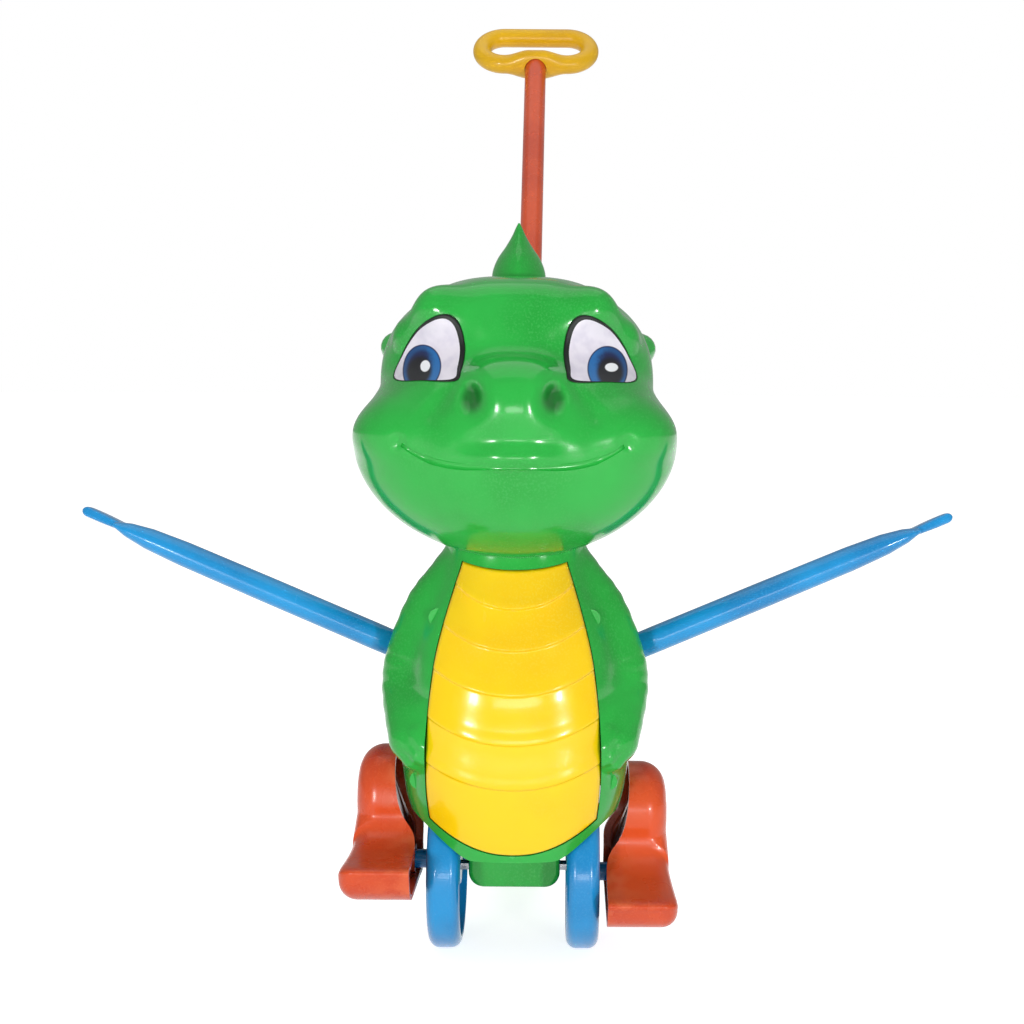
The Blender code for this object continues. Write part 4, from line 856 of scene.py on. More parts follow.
@dataclass(frozen=True)
class DrawnSteel:
    """Drawn wire and screw steel with fine lines along it and dull spots."""

    name: str
    colour: Colour = (0.55, 0.56, 0.58)
    dull: Colour = (0.33, 0.32, 0.31)

    def material(self) -> Surface:
        """Builds the finish.

        Returns:
            The material.
        """
        sheet = NodeSheet(self.name)
        lines = sheet.noise(900.0, 3.0, (0.05, 1.0, 1.0))
        spots = sheet.spread(sheet.noise(160.0, 3.0), 0.52, 0.72)
        colour = sheet.mix(spots, self.colour, self.dull)
        rough = sheet.spread(lines, 0.3, 0.7, 0.2, 0.36)
        rough = sheet.math(Sum.ADD, rough, sheet.math(Sum.TIMES, spots, 0.2))
        sheet.bump(lines, 0.15, 0.0001)
        return sheet.dress(Base_Color=colour, Roughness=rough, Metallic=1.0)


@dataclass(frozen=True)
class PrintedEye:
    """The printed film of one eye: a pale ground, a blue iris, a dark pupil and a catch light."""

    name: str
    side: Side
    centre: tuple[float, float]
    iris_place: tuple[float, float] = (0.0020, -0.0070)
    iris_radii: tuple[float, float] = (0.0076, 0.0084)
    pupil_place: tuple[float, float] = (0.0028, -0.0082)
    pupil_radii: tuple[float, float] = (0.0054, 0.0060)
    glow_place: tuple[float, float] = (0.0050, -0.0045)
    light_place: tuple[float, float] = (0.0014, -0.0064)
    light_radii: tuple[float, float] = (0.0020, 0.0020)
    ground: Colour = (0.80, 0.76, 0.84)
    ground_shade: Colour = (0.70, 0.66, 0.76)
    navy: Colour = (0.006, 0.014, 0.075)
    blue: Colour = (0.012, 0.150, 0.430)
    dark: Colour = (0.004, 0.004, 0.009)
    light: Colour = (0.93, 0.95, 0.97)

    def material(self) -> Surface:
        """Builds the finish.

        Returns:
            The material.
        """
        sheet = NodeSheet(self.name)
        x, _, z = sheet.coordinates()
        across = sheet.math(Sum.LESS, sheet.math(Sum.SIZE, x), self.centre[0])
        up = sheet.math(Sum.LESS, z, self.centre[1])
        real = sheet.math(Sum.LESS, x, self.side.value * self.centre[0])
        tone = sheet.spread(sheet.noise(180.0, 2.0), 0.35, 0.7)
        colour = sheet.mix(tone, self.ground, self.ground_shade)
        iris = sheet.oval(across, up, self.iris_place, self.iris_radii)
        glow = sheet.oval(across, up, self.glow_place, self.iris_radii)
        streaks = sheet.spread(sheet.noise(700.0, 2.0), 0.3, 0.7, -0.05, 0.05)
        shine = sheet.spread(sheet.math(Sum.ADD, glow, streaks), 0.55, 1.15)
        iris_colour = sheet.mix(shine, self.navy, self.blue)
        ring = sheet.math(Sum.TIMES, sheet.spread(iris, 0.62, 0.86), 0.40)
        iris_colour = sheet.mix(ring, iris_colour, self.blue)
        rim = sheet.spread(iris, 0.90, 0.98)
        iris_colour = sheet.mix(rim, iris_colour, self.navy)
        pupil = sheet.oval(across, up, self.pupil_place, self.pupil_radii)
        lit_x = self.side.value * self.iris_place[0] + self.light_place[0]
        spot = sheet.oval(real, up, (lit_x, self.light_place[1]), self.light_radii)
        for away, within, beyond, over in (
            (iris, 0.98, 1.02, iris_colour),
            (pupil, 0.70, 1.10, self.dark),
            (spot, 0.88, 1.08, self.light),
        ):
            colour = sheet.mix(sheet.spread(away, within, beyond, 1.0, 0.0), colour, over)
        rough = sheet.spread(sheet.noise(90.0, 3.0), 0.3, 0.7, 0.34, 0.46)
        sheet.bump(sheet.noise(320.0, 2.0), 0.03, 0.0005)
        return sheet.dress(Base_Color=colour, Roughness=rough, Coat_Weight=0.05, Coat_Roughness=0.2)


@dataclass(frozen=True)
class PaleFloor:
    """The pale studio floor, which the camera sees a little brighter than it is lit."""

    name: str = "pale_floor"
    colour: Colour = (0.86, 0.86, 0.86)
    deep: Colour = (0.84, 0.84, 0.84)
    lift: float = 0.78

    def material(self) -> Surface:
        """Builds the finish.

        Returns:
            The material.
        """
        sheet = NodeSheet(self.name)
        tone = sheet.spread(sheet.noise(3.0, 3.0), 0.3, 0.7)
        colour = sheet.mix(tone, self.colour, self.deep)
        sheet.dress(Base_Color=colour, Roughness=0.9)
        path = sheet.add("ShaderNodeLightPath")
        seen = path.outputs["Is Camera Ray"]
        for kind in ("Is Glossy Ray", "Is Transmission Ray"):
            seen = sheet.math(Sum.HIGHEST, seen, path.outputs[kind])
        glow = sheet.add("ShaderNodeEmission")
        sheet.feed(glow.inputs["Strength"], sheet.math(Sum.TIMES, seen, self.lift))
        both = sheet.add("ShaderNodeAddShader")
        for socket, node in zip(both.inputs, (sheet.shader, glow)):
            sheet.feed(socket, node.outputs[0])
        output = sheet.tree.nodes["Material Output"]
        sheet.feed(output.inputs["Surface"], both.outputs[0])
        return sheet.material


GREEN = MouldedPlastic(
    "green_plastic", (0.022, 0.450, 0.058), (0.014, 0.360, 0.040), (0.10, 0.60, 0.15)
)
# Painted shade for the nostrils: a darkened oval on each side of the snout, where shadow falls in
# the nostril dents.
NOSTRIL_PAINTED_SHADE = ((0.01425, 0.2203), (0.0040, 0.0053), 0.75)
HEAD_GREEN_PAINTED_SHADE = replace(GREEN, name="head_green", shades=(NOSTRIL_PAINTED_SHADE,))
YELLOW = MouldedPlastic(
    "yellow_plastic", (1.0, 0.660, 0.004), (0.950, 0.570, 0.001), (1.0, 0.78, 0.10), 0.16
)
BLUE = MouldedPlastic(
    "blue_plastic", (0.010, 0.320, 0.720), (0.006, 0.230, 0.560), (0.09, 0.46, 0.82), 0.20, 0.25
)
RED = MouldedPlastic(
    "red_plastic", (0.760, 0.090, 0.018), (0.620, 0.056, 0.010), (0.86, 0.20, 0.08), 0.24, 0.10
)
HANDLE = MouldedPlastic(
    "handle_plastic", (0.900, 0.520, 0.006), (0.800, 0.430, 0.003), (0.96, 0.70, 0.14), 0.28, 0.12
)
INK = MouldedPlastic(
    "black_print", (0.003, 0.005, 0.004), (0.008, 0.012, 0.009), (0.02, 0.03, 0.025), 0.45, 0.0
)
GREY = MouldedPlastic(
    "grey_plastic", (0.35, 0.36, 0.37), (0.28, 0.29, 0.30), (0.50, 0.51, 0.52), 0.36, 0.0
)
STEEL = DrawnSteel("steel")


class Bench:
    """The workbench: it keeps the finishes, moves pieces into the frame and records them."""

    def __init__(self, nodes: dict[str, Piece]) -> None:
        """Takes the frame's nodes.

        Args:
            nodes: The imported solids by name.
        """
        self.nodes = nodes
        self.made: dict[str, Surface] = {}
        low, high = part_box("wheel_left")
        Draft.shift = Vector((0.0, (low.y + high.y) / 2.0, 0.0))

    def finish(self, kind: Union[MouldedPlastic, DrawnSteel, PrintedEye]) -> Surface:
        """The material of a finish, built the first time it is wanted."""
        if kind.name not in self.made:
            self.made[kind.name] = kind.material()
        return self.made[kind.name]

    def place(self, piece: Piece, body: str, slot: str, *nodes: str) -> Piece:
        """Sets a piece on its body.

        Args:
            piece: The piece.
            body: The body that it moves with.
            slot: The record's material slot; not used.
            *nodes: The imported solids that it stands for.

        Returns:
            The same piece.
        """
        if nodes:
            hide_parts(*nodes)
        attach(piece, body)
        LOG.info("%s on %s, %d faces", piece.name, body, len(piece.data.polygons))
        return piece

    def dress(self, node: str, kind: Union[MouldedPlastic, DrawnSteel]) -> None:
        """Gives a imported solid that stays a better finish.

        Args:
            node: The solid's name.
            kind: Its finish.
        """
        solid = self.nodes[node]
        surface = self.finish(kind)
        for slot in solid.material_slots:
            slot.material = surface
        if not solid.material_slots:
            solid.data.materials.append(surface)
        LOG.info("%s keeps its solid and takes %s", node, kind.name)


@dataclass
class Torso:
    """The body shells with arms in relief, the belly plate and the openings in the back."""

    bench: Bench
    top: float = 0.1780
    half_width: float = 0.0445
    front: float = 0.0410
    back: float = 0.0420
    power: float = 2.5
    rim_front: float = 0.0447
    rim_back: float = 0.0480
    rim_rise: float = 0.0150
    rim_slope: tuple = (0.42, 0.95)
    levels: tuple = (0.25, 0.315, 0.36, 0.41, 0.466, 0.545, 0.64, 0.725, 0.787, 0.831, 0.876, 1.0)
    widths: tuple = (0.80, 0.90, 0.96, 0.99, 1.0, 0.99, 0.945, 0.875, 0.775, 0.685, 0.63, 0.607)
    fronts: tuple = (0.84, 0.915, 0.95, 0.98, 1.0, 0.995, 0.945, 0.865, 0.78, 0.72, 0.67, 0.634)
    backs: tuple = (0.85, 0.93, 0.97, 0.995, 1.0, 0.98, 0.92, 0.835, 0.74, 0.67, 0.62, 0.595)
    arm_spots: tuple = (
        (0.150, -0.028, 0.848), (0.193, -0.034, 0.782), (0.232, -0.036, 0.674),
        (0.241, -0.048, 0.596), (0.222, -0.140, 0.505),
    )
    arm_radii: tuple = (0.034, 0.044, 0.0490, 0.0505, 0.0455)
    arm_steps: int = 13
    arm_seam: float = 0.0006
    arm_fillet: float = 0.0080
    finger_roots: tuple = ((0.207, -0.176, 0.522), (0.222, -0.172, 0.502), (0.236, -0.158, 0.486))
    finger_tips: tuple = ((0.190, -0.189, 0.500), (0.203, -0.186, 0.479), (0.219, -0.174, 0.464))
    finger_radius: float = 0.0145
    finger_taper: float = 0.8
    finger_fillet: float = 0.0012
    fold: tuple = (0.607, 0.0018, 0.0004)
    fold_slant: tuple = (0.15, 0.02)
    fold_fade: tuple = (0.002, 0.016)
    plate_top: float = 0.1575
    plate_sag: float = 0.0025
    plate_bottom: float = 0.0477
    plate_rise: float = 0.0125
    plate_half_width: float = 0.0328
    plate_levels: tuple = (0.0, 0.11, 0.19, 0.36, 0.53, 0.70, 0.85, 1.0)
    plate_widths: tuple = (0.90, 0.965, 0.995, 1.0, 0.965, 0.885, 0.755, 0.60)
    scales: tuple = (0.855, 0.72, 0.57, 0.405, 0.25)
    scale_sag: float = 0.0085
    scale_step: float = 0.0014
    scale_swell: tuple = ((0.15, 0.75), (0.72, 0.25))
    scale_edge: float = 0.0011
    plate_proud: float = 0.0004
    plate_wall: float = 0.0022
    plate_round: float = 0.0011
    plate_sharp: float = math.radians(50.0)
    plate_columns: int = 97
    plate_rows: int = 300
    plate_crowding: float = 1.15
    plate_thinning: tuple = (6, 4)
    plate_curl: float = 2.2
    window_depths: tuple = (-2.0, -0.3)
    screw_spots: tuple = ((0.202, 0.416), (0.163, 0.764))
    screw_boss: float = 0.0048
    screw_post: float = 0.0036
    screw_head: float = 0.0033
    screw_bore: float = 0.00155
    screw_seat: float = 0.0080
    screw_thread: float = 0.0150
    columns: int = 120
    rows: int = 130
    inner_rows: int = 24

    def half_at(self, height: Array) -> Array:
        """Half the width of the torso at each height."""
        return self.half_width * follow(height / self.top, self.levels, self.widths)

    def core(self, points: Array) -> Array:
        """The field of the torso without its arms.

        Args:
            points: Where the field is wanted.

        Returns:
            Roughly the distance from the skin, negative inside.
        """
        share, width = points[..., 2] / self.top, self.half_at(points[..., 2])
        ahead = self.front * follow(share, self.levels, self.fronts)
        behind = self.back * follow(share, self.levels, self.backs)
        depth = np.where(points[..., 1] < 0, ahead, behind)
        reach = np.abs(points[..., 0] / width) ** self.power
        reach = reach + np.abs(points[..., 1] / depth) ** self.power
        return (reach ** (1.0 / self.power) - 1.0) * np.minimum(width, depth)

    def field(self, points: Array) -> Array:
        """The field of the torso with its arms and fingers.

        Args:
            points: Where the field is wanted.

        Returns:
            Roughly the distance from the skin, negative inside.
        """
        sided = mirrored(points)
        spots, radii = np.array(self.arm_spots) * self.top, np.array(self.arm_radii) * self.top
        knots = np.arange(len(radii))
        fine = np.linspace(0, knots[-1], self.arm_steps)
        spots = joined(*(follow(fine, knots, column) for column in spots.T))
        arm = chain_field(sided, spots, follow(fine, knots, radii), self.arm_seam)
        radius = self.finger_radius * self.top
        for ends in zip(self.finger_roots, self.finger_tips):
            sizes = (radius, self.finger_taper * radius)
            finger = limb_field(sided, np.array(ends) * self.top, sizes)
            arm = soft_union(arm, finger, self.finger_fillet)
        found = soft_union(self.core(points), arm, self.arm_fillet)
        level, spread, depth = self.fold
        slant, shift = self.fold_slant
        away = (sided[..., 2] - level * self.top - slant * (sided[..., 1] + shift)) / spread
        return found + depth * np.exp(-(away**2)) * ease(-sided[..., 1], *self.fold_fade)

    def shell(self, half: Half) -> Piece:
        """Builds one open half of the torso.

        Args:
            half: Which half.

        Returns:
            The shell with its outer skin, inner skin and rims.
        """
        turn = np.linspace(0.0, math.pi, self.columns + 1)
        lowest = self.rim_front if half is Half.FRONT else self.rim_back
        highest = self.rim_front + self.rim_rise
        rim = lowest + (highest - lowest) * ease(np.abs(np.cos(turn)), *self.rim_slope)
        facing = half.value

        def skin(rows: int, level: float) -> Array:
            """The points of the skin at one level of the field, by row and column."""
            share = np.linspace(0.0, 1.0, rows + 1)[:, None]
            starts = joined(0.0, facing * SEAT_GAP / 2.0, rim + share * (self.top - rim))
            flat = joined(np.cos(turn), facing * np.sin(turn), 0.0)
            directions = np.broadcast_to(flat, starts.shape)
            return starts + directions * crossing(self.field, starts, directions, level)[..., None]

        draft = Draft()
        outer, inner = draft.add(skin(self.rows, 0.0)), draft.add(skin(self.inner_rows, -WALL))
        draft.skin(outer)
        draft.skin(inner)
        for end in (0, -1):
            draft.skin(np.stack([outer[end], inner[end]]))
        for column in (0, -1):
            draft.face(np.concatenate([outer[:, column], inner[::-1, column]]))
        return draft.make(f"dragon_torso_{half.name.lower()}", self.bench.finish(GREEN))

    def plate_half(self, height: Array) -> Array:
        """Half the width of the belly plate at each height."""
        share = (height - self.plate_bottom) / (self.plate_top - self.plate_bottom)
        return self.plate_half_width * follow(share, self.plate_levels, self.plate_widths)

    def plate_ends(self, across: Array) -> tuple[Array, Array]:
        """The upper and lower edge of the belly plate at shares of its half width."""
        upper = self.plate_top - self.plate_sag * (1.0 - across**2)
        lower = self.plate_bottom + self.plate_rise * np.abs(across) ** self.plate_curl
        return upper, lower

    def scale_relief(self, across: Array, height: Array) -> Array:
        """How far the belly plate rises towards the lower edges of its scales.

        Args:
            across: Shares of the plate's half width.
            height: The Z of each place.

        Returns:
            The rise of each place.
        """
        span = self.plate_top - self.plate_bottom
        found, above = np.zeros_like(height), self.plate_top
        for share in self.scales:
            edge = self.plate_bottom + share * span + self.scale_sag * across**2
            depth = np.clip((above - height) / (above - edge), 0.0, 1.0)
            rise = sum(part * ease(depth, start, 1.0) for start, part in self.scale_swell)
            found = np.where((height <= above) & (height >= edge), self.scale_step * rise, found)
            step = ease(edge - height, 0.0, self.scale_edge)
            below = (height < edge) & (edge - height < self.scale_edge)
            found = np.where(below, self.scale_step * (1.0 - step), found)
            above = edge - self.scale_edge
        return found

    def plate(self) -> Piece:
        """Builds the belly plate with its overlapping scales.

        Returns:
            The plate.
        """
        bend = np.linspace(-1.0, 1.0, self.plate_columns)
        across = np.sign(bend) * (1.0 - (1.0 - np.abs(bend)) ** self.plate_crowding)
        upper, lower = self.plate_ends(across)
        height = upper + np.linspace(0.0, 1.0, self.plate_rows)[:, None] * (lower - upper)
        half = self.plate_half(height)
        wide, side_gap = across * half, (1.0 - np.abs(across)) * half
        edge_gap = np.minimum(side_gap, np.minimum(upper - height, height - lower))
        inset = np.clip(1.0 - edge_gap / self.plate_round, 0.0, 1.0)
        drop = self.plate_round * (1.0 - np.sqrt(1.0 - inset**2))
        core = depth_at(self.core, wide, height)
        proud = self.plate_proud + self.scale_relief(across, height) - drop
        draft = Draft()
        outer = draft.add(joined(wide, core - proud, height))
        down, along = self.plate_thinning
        inner = draft.add(joined(wide, core + self.plate_wall, height)[::down, ::along])
        draft.skin(outer)
        draft.skin(inner)
        everywhere = slice(None)
        for rim in ((0, everywhere), (-1, everywhere), (everywhere, 0), (everywhere, -1)):
            self.join_edges(draft, outer[rim], inner[rim])
        return draft.make("belly_scales", self.bench.finish(YELLOW))

    @staticmethod
    def join_edges(draft: Draft, fine: Array, coarse: Array) -> None:
        """Joins a finely divided edge to a coarser one with triangles.

        Args:
            draft: The mesh that takes them.
            fine: The point numbers of the finer edge.
            coarse: The point numbers of the coarser edge, from the same end.
        """
        here = 0
        for step in range(len(fine) - 1):
            goal = round((step + 1) * (len(coarse) - 1) / (len(fine) - 1))
            draft.face((fine[step], fine[step + 1], coarse[here]))
            if goal > here:
                draft.face((fine[step + 1], coarse[goal], coarse[here]))
                here = goal

    def window(self) -> Piece:
        """The tool that opens the front shell for the belly plate.

        Returns:
            The tool.
        """
        across = np.linspace(-1.0, 1.0, 61)
        upper, lower = self.plate_ends(across)
        side = np.linspace(upper[-1], lower[-1], 60)[1:-1]
        low = lower[::-1]
        x = [across * (self.plate_half(upper) + SEAT_GAP), self.plate_half(side) + SEAT_GAP]
        x += [across[::-1] * (self.plate_half(low) + SEAT_GAP), -x[1][::-1]]
        z = [upper + SEAT_GAP, side, low - SEAT_GAP, side[::-1]]
        wide, tall = np.concatenate(x), np.concatenate(z)
        depths = (share * self.front for share in self.window_depths)
        return lofted("belly_window", [joined(wide, depth, tall) for depth in depths])

    def screw_tools(self, half: Half) -> Tools:
        """The bosses or posts of the screws in one half, with their bores.

        Args:
            half: Which half.

        Returns:
            The tools.
        """
        tools = []
        shape = self.core if half is Half.BACK else self.field
        spots = [(s * x * self.top, z * self.top) for x, z in self.screw_spots for s in (-1, 1)]
        for index, (x, z) in enumerate(spots):
            seat, skin = (x, self.screw_seat, z), depth_at(shape, x, z, half, -WALL / 2.0)
            if half is Half.BACK:
                boss = rod(f"boss_{index}", (x, WALL / 2.0, z), (x, skin, z), self.screw_boss)
                well = plug(-THROUGH, 0.0, self.screw_bore)[:3]
                well += plug(0.0, THROUGH, self.screw_head)[1:]
                hole = turned(f"well_{index}", well, axis_frame(seat, (0.0, 1.0, 0.0)), 32)
            else:
                boss = rod(f"post_{index}", (x, skin, z), (x, -WALL / 2.0, z), self.screw_post)
                start = (x, self.screw_seat - self.screw_thread - RUN_GAP, z)
                hole = rod(f"thread_{index}", start, seat, self.screw_bore)
            tools += [(boss, Cut.JOIN), (hole, Cut.TAKE)]
        return tools

    def build(self, wings: "Wings", stick: "Stick") -> None:
        """Builds the shells and the plate.

        Args:
            wings: The wings, whose slots the back shell gets.
            stick: The stick, whose hole the back shell gets.
        """
        front, back = self.shell(Half.FRONT), self.shell(Half.BACK)
        shaped(front, [*self.screw_tools(Half.FRONT), (self.window(), Cut.TAKE)])
        tools = [*self.screw_tools(Half.BACK), *wings.slot_tools(), *wings.post_tools(self)]
        shaped(back, [*tools, (stick.hole_tool(), Cut.TAKE)])
        self.bench.place(front, "toy_body", "green_plastic", "torso_front_shell")
        self.bench.place(back, "toy_body", "green_plastic", "torso_back_shell")
        plate = self.plate()
        plate.data.set_sharp_from_angle(angle=self.plate_sharp)
        self.bench.place(plate, "toy_body", "yellow_plastic", "belly_plate")


@dataclass
class Head:
    """The head shells with brows, snout, smile and ears, the eye films and the crest."""

    bench: Bench
    torso: Torso
    width: float = 0.1250
    middle: float = 0.2125
    wall: float = 0.0032
    skull: tuple = ((0.0, 0.016, 0.090), (0.422, 0.368, 0.322), 2.4)
    crown: tuple = ((0.0, -0.060, 0.290), (0.246, 0.240, 0.125), 2.9)
    muzzle: tuple = ((0.0, -0.160, -0.080), (0.486, 0.336, 0.295), 1.9)
    muzzle_lower: float = 0.350
    throat: tuple = ((0.0, 0.048, -0.215), (0.300, 0.268, 0.200), 2.2)
    cheek: tuple = ((0.283, -0.270, -0.045), (0.180, 0.150, 0.105), 2.0)
    snout: tuple = ((0.0, -0.315, 0.035), (0.178, 0.208, 0.152), 2.3)
    lip: tuple = ((0.0, -0.480, -0.106), (0.080, 0.036, 0.030), 2.0)
    brow_spots: tuple = ((0.105, -0.244, 0.262), (0.232, -0.226, 0.306), (0.316, -0.152, 0.240))
    brow_radii: tuple = (0.040, 0.049, 0.046)
    ear: tuple = ((0.388, 0.110, 0.205), 0.048)
    eye_hollow: tuple = ((0.262, 0.190), (0.170, 0.125), 0.026, 1.1)
    nostril: tuple = ((0.114, 0.062), (0.035, 0.046), 0.027, 1.2)
    dimple: tuple = ((0.325, -0.068), (0.020, 0.020), 0.007, 1.0)
    crease: tuple = ((0.168, 0.098), (0.232, 0.012), 0.026, 0.009)
    jaw_step: float = 0.0011
    jaw_fade: float = 0.0110
    jaw_edge: tuple = (-0.0005, 0.0007)
    jaw_ends: tuple = (0.80, 1.02)
    soft: float = 0.070
    crisp: float = 0.040
    face_fade: float = 0.2
    smile_half: float = 0.0395
    smile_drop: float = 0.0167
    smile_rise: float = 0.0076
    smile_power: float = 4.2
    smile_radius: float = 0.00165
    smile_taper: tuple = (0.55, 0.75)
    neck_span: tuple = (0.84, 1.05)
    eye_centre: tuple = (0.0320, 0.2375)
    eye_width: float = 0.0270
    eye_plate: float = 0.0006
    eye_pocket: float = 0.005
    glints: tuple = ((0.0019, 0.0021), (0.0025, 0.0016))
    eye_outline: tuple = (
        (0.47, -0.41), (0.375, -0.080), (0.165, 0.235), (-0.08, 0.41), (-0.30, 0.45),
        (-0.45, 0.31), (-0.52, 0.0), (-0.49, -0.28), (-0.41, -0.43), (0.02, -0.43),
    )
    eye_ink: tuple = (0.014, 0.016, 0.024, 0.052, 0.070, 0.074, 0.068, 0.066, 0.042, 0.008)
    crest_height: float = 0.0238
    crest_half: tuple = (0.0108, 0.0150)
    crest_y: float = 0.0170
    crest_levels: tuple = (-0.25, 0.0, 0.22, 0.42, 0.62, 0.80, 0.93, 1.0)
    crest_sizes: tuple = (0.98, 1.0, 0.95, 0.77, 0.47, 0.24, 0.11, 0.03)
    crest_power: float = 1.45
    crest_sharp: float = math.radians(48.0)
    crest_cone: tuple = (0.10 * math.pi, 0.01)
    crest_core: float = 0.4
    peg: tuple = (0.0030, 0.0070)
    sectors: int = 220
    front_rings: int = 120
    back_rings: int = 56
    inner_rings: int = 18

    def oval(self, points: Array, shape: tuple, lower: Optional[float] = None) -> Array:
        """A rounded body given in shares of the head's width."""
        centre, radii = np.array(shape[0]) * self.width, np.array(shape[1]) * self.width
        return oval_field(points, centre, radii, shape[2], lower)

    def field(self, points: Array) -> Array:
        """The field of the head.

        Args:
            points: Where the field is wanted.

        Returns:
            Roughly the distance from the head's skin, negative inside.
        """
        sided = mirrored(points - np.array((0.0, 0.0, self.middle)))
        size = self.width
        soft, crisp = self.soft * size, self.crisp * size
        across, up = sided[..., 0] / size, sided[..., 2] / size
        ahead = ease(-sided[..., 1], 0.0, self.face_fade * size)
        spots, radii = np.array(self.brow_spots) * size, np.array(self.brow_radii) * size
        found = soft_union(self.oval(sided, self.skull), self.oval(sided, self.crown), crisp)
        found = soft_union(found, chain_field(sided, spots, radii, soft), soft)
        found = found + self.dent(across, up, self.eye_hollow) * ahead
        muzzle = self.oval(sided, self.muzzle, self.muzzle_lower * size)
        for shape in (self.cheek, self.snout, self.lip):
            muzzle = soft_union(muzzle, self.oval(sided, shape), crisp)
        ear = np.linalg.norm(sided - np.array(self.ear[0]) * size, axis=-1) - self.ear[1] * size
        for part, width in (
            (muzzle, crisp), (self.oval(sided, self.throat), soft), (ear, crisp / 2.0)
        ):
            found = soft_union(found, part, width)
        for shape in (self.nostril, self.dimple):
            found = found + self.dent(across, up, shape) * ahead
        found = found + self.fold(across, up) * ahead
        return found + self.jaw_step * self.jaw(sided) * ahead

    def dent(self, across: Array, up: Array, shape: tuple) -> Array:
        """How deep a round dent is at each place.

        Args:
            across: The distance from the middle in shares of the head's width.
            up: The height above the middle in the same shares.
            shape: The dent's place, spread, depth and power, in shares too.

        Returns:
            The depth of each place.
        """
        place, spread, depth, power = shape
        away = ((across - place[0]) / spread[0]) ** 2 + ((up - place[1]) / spread[1]) ** 2
        return depth * self.width * np.exp(-(away**power))

    def fold(self, across: Array, up: Array) -> Array:
        """How deep the crease beside the snout is at each place.

        Args:
            across: The distance from the middle in shares of the head's width.
            up: The height above the middle in the same shares.

        Returns:
            The depth of each place.
        """
        start, end, spread, depth = self.crease
        start, axis = np.array(start), np.array(end) - np.array(start)
        flat = joined(across, up) - start
        share = np.clip(flat @ axis / (axis @ axis), 0.0, 1.0)
        away = np.sum((flat - share[..., None] * axis) ** 2, axis=-1) / spread**2
        return depth * self.width * np.exp(-away)

    def jaw(self, sided: Array) -> Array:
        """How far the lower jaw is set back, which is most just below the smile.

        Args:
            sided: Points from the head's middle with X made positive.

        Returns:
            The share of the full step at each point.
        """
        share = sided[..., 0] / self.smile_half
        below = self.smile_rise * share**self.smile_power - self.smile_drop - sided[..., 2]
        fade = np.exp(-np.maximum(below, 0.0) / self.jaw_fade)
        return ease(below, *self.jaw_edge) * fade * (1.0 - ease(share, *self.jaw_ends))

    def shell(self, half: Half) -> Piece:
        """Builds one half of the head.

        Args:
            half: Which half.

        Returns:
            The shell with its outer skin, inner skin and rim.
        """
        facing = half.value
        start = np.array((0.0, facing * SEAT_GAP / 2.0, self.middle))
        draft = Draft()
        edges = []
        rings = self.front_rings if half is Half.FRONT else self.back_rings
        turn, pole = circle(self.sectors), np.array([[0.0, facing, 0.0]])
        for count, level in ((rings, 0.0), (self.inner_rings, -self.wall)):
            tilt = np.linspace(0.0, math.pi / 2.0, count + 1)[1:, None]
            sideways = np.sin(tilt)
            directions = joined(
                sideways * np.cos(turn), facing * np.cos(tilt), sideways * np.sin(turn)
            )
            reach = crossing(self.field, start, directions, level)
            tip = crossing(self.field, start, pole, level)
            grid = draft.add(start + directions * reach[..., None])
            hub = draft.add(start + pole * tip[:, None])
            draft.fan(grid[0], hub[0])
            draft.skin(grid, ring=True)
            edges.append(grid[-1])
        draft.skin(np.stack(edges), ring=True)
        # The front half takes the green with the painted nostril shade, and the back half takes
        # plain green.
        surface = self.bench.finish(HEAD_GREEN_PAINTED_SHADE if half is Half.FRONT else GREEN)
        return draft.make(f"dragon_head_{half.name.lower()}", surface)

    def neck_tool(self, name: str) -> Piece:
        """The tool that clears the torso's neck out of the head.

        Args:
            name: The tool's name.

        Returns:
            The tool.
        """
        turn = circle(120)
        directions = joined(np.cos(turn), np.sin(turn), 0.0)
        sections = []
        for height in np.linspace(*(share * self.torso.top for share in self.neck_span), 24):
            start = np.array((0.0, 0.0, height))
            reach = crossing(self.torso.field, start, directions, SEAT_GAP)
            sections.append(start + directions * reach[:, None])
        return lofted(name, sections)

    def smile_tool(self) -> Piece:
        """The tool that cuts the smile, thinner towards its turned-up ends.

        Returns:
            The tool.
        """
        share = np.linspace(-1.0, 1.0, 121)
        across = share * self.smile_half
        height = self.middle - self.smile_drop + self.smile_rise * np.abs(share) ** self.smile_power
        depth = depth_at(self.field, across, height)
        thinner, begin = self.smile_taper
        radii = self.smile_radius * (1.0 - thinner * ease(np.abs(share), begin, 1.0))
        return swept("smile_tool", joined(across, depth, height), radii, 12)

    def outline(self, grow: Union[float, Array]) -> Array:
        """The outline of an eye film about its centre, grown outwards by a measure."""
        spots = smooth_outline(self.eye_outline, 8) * self.eye_width
        return spots * (1.0 + grow / np.linalg.norm(spots, axis=1)[:, None])

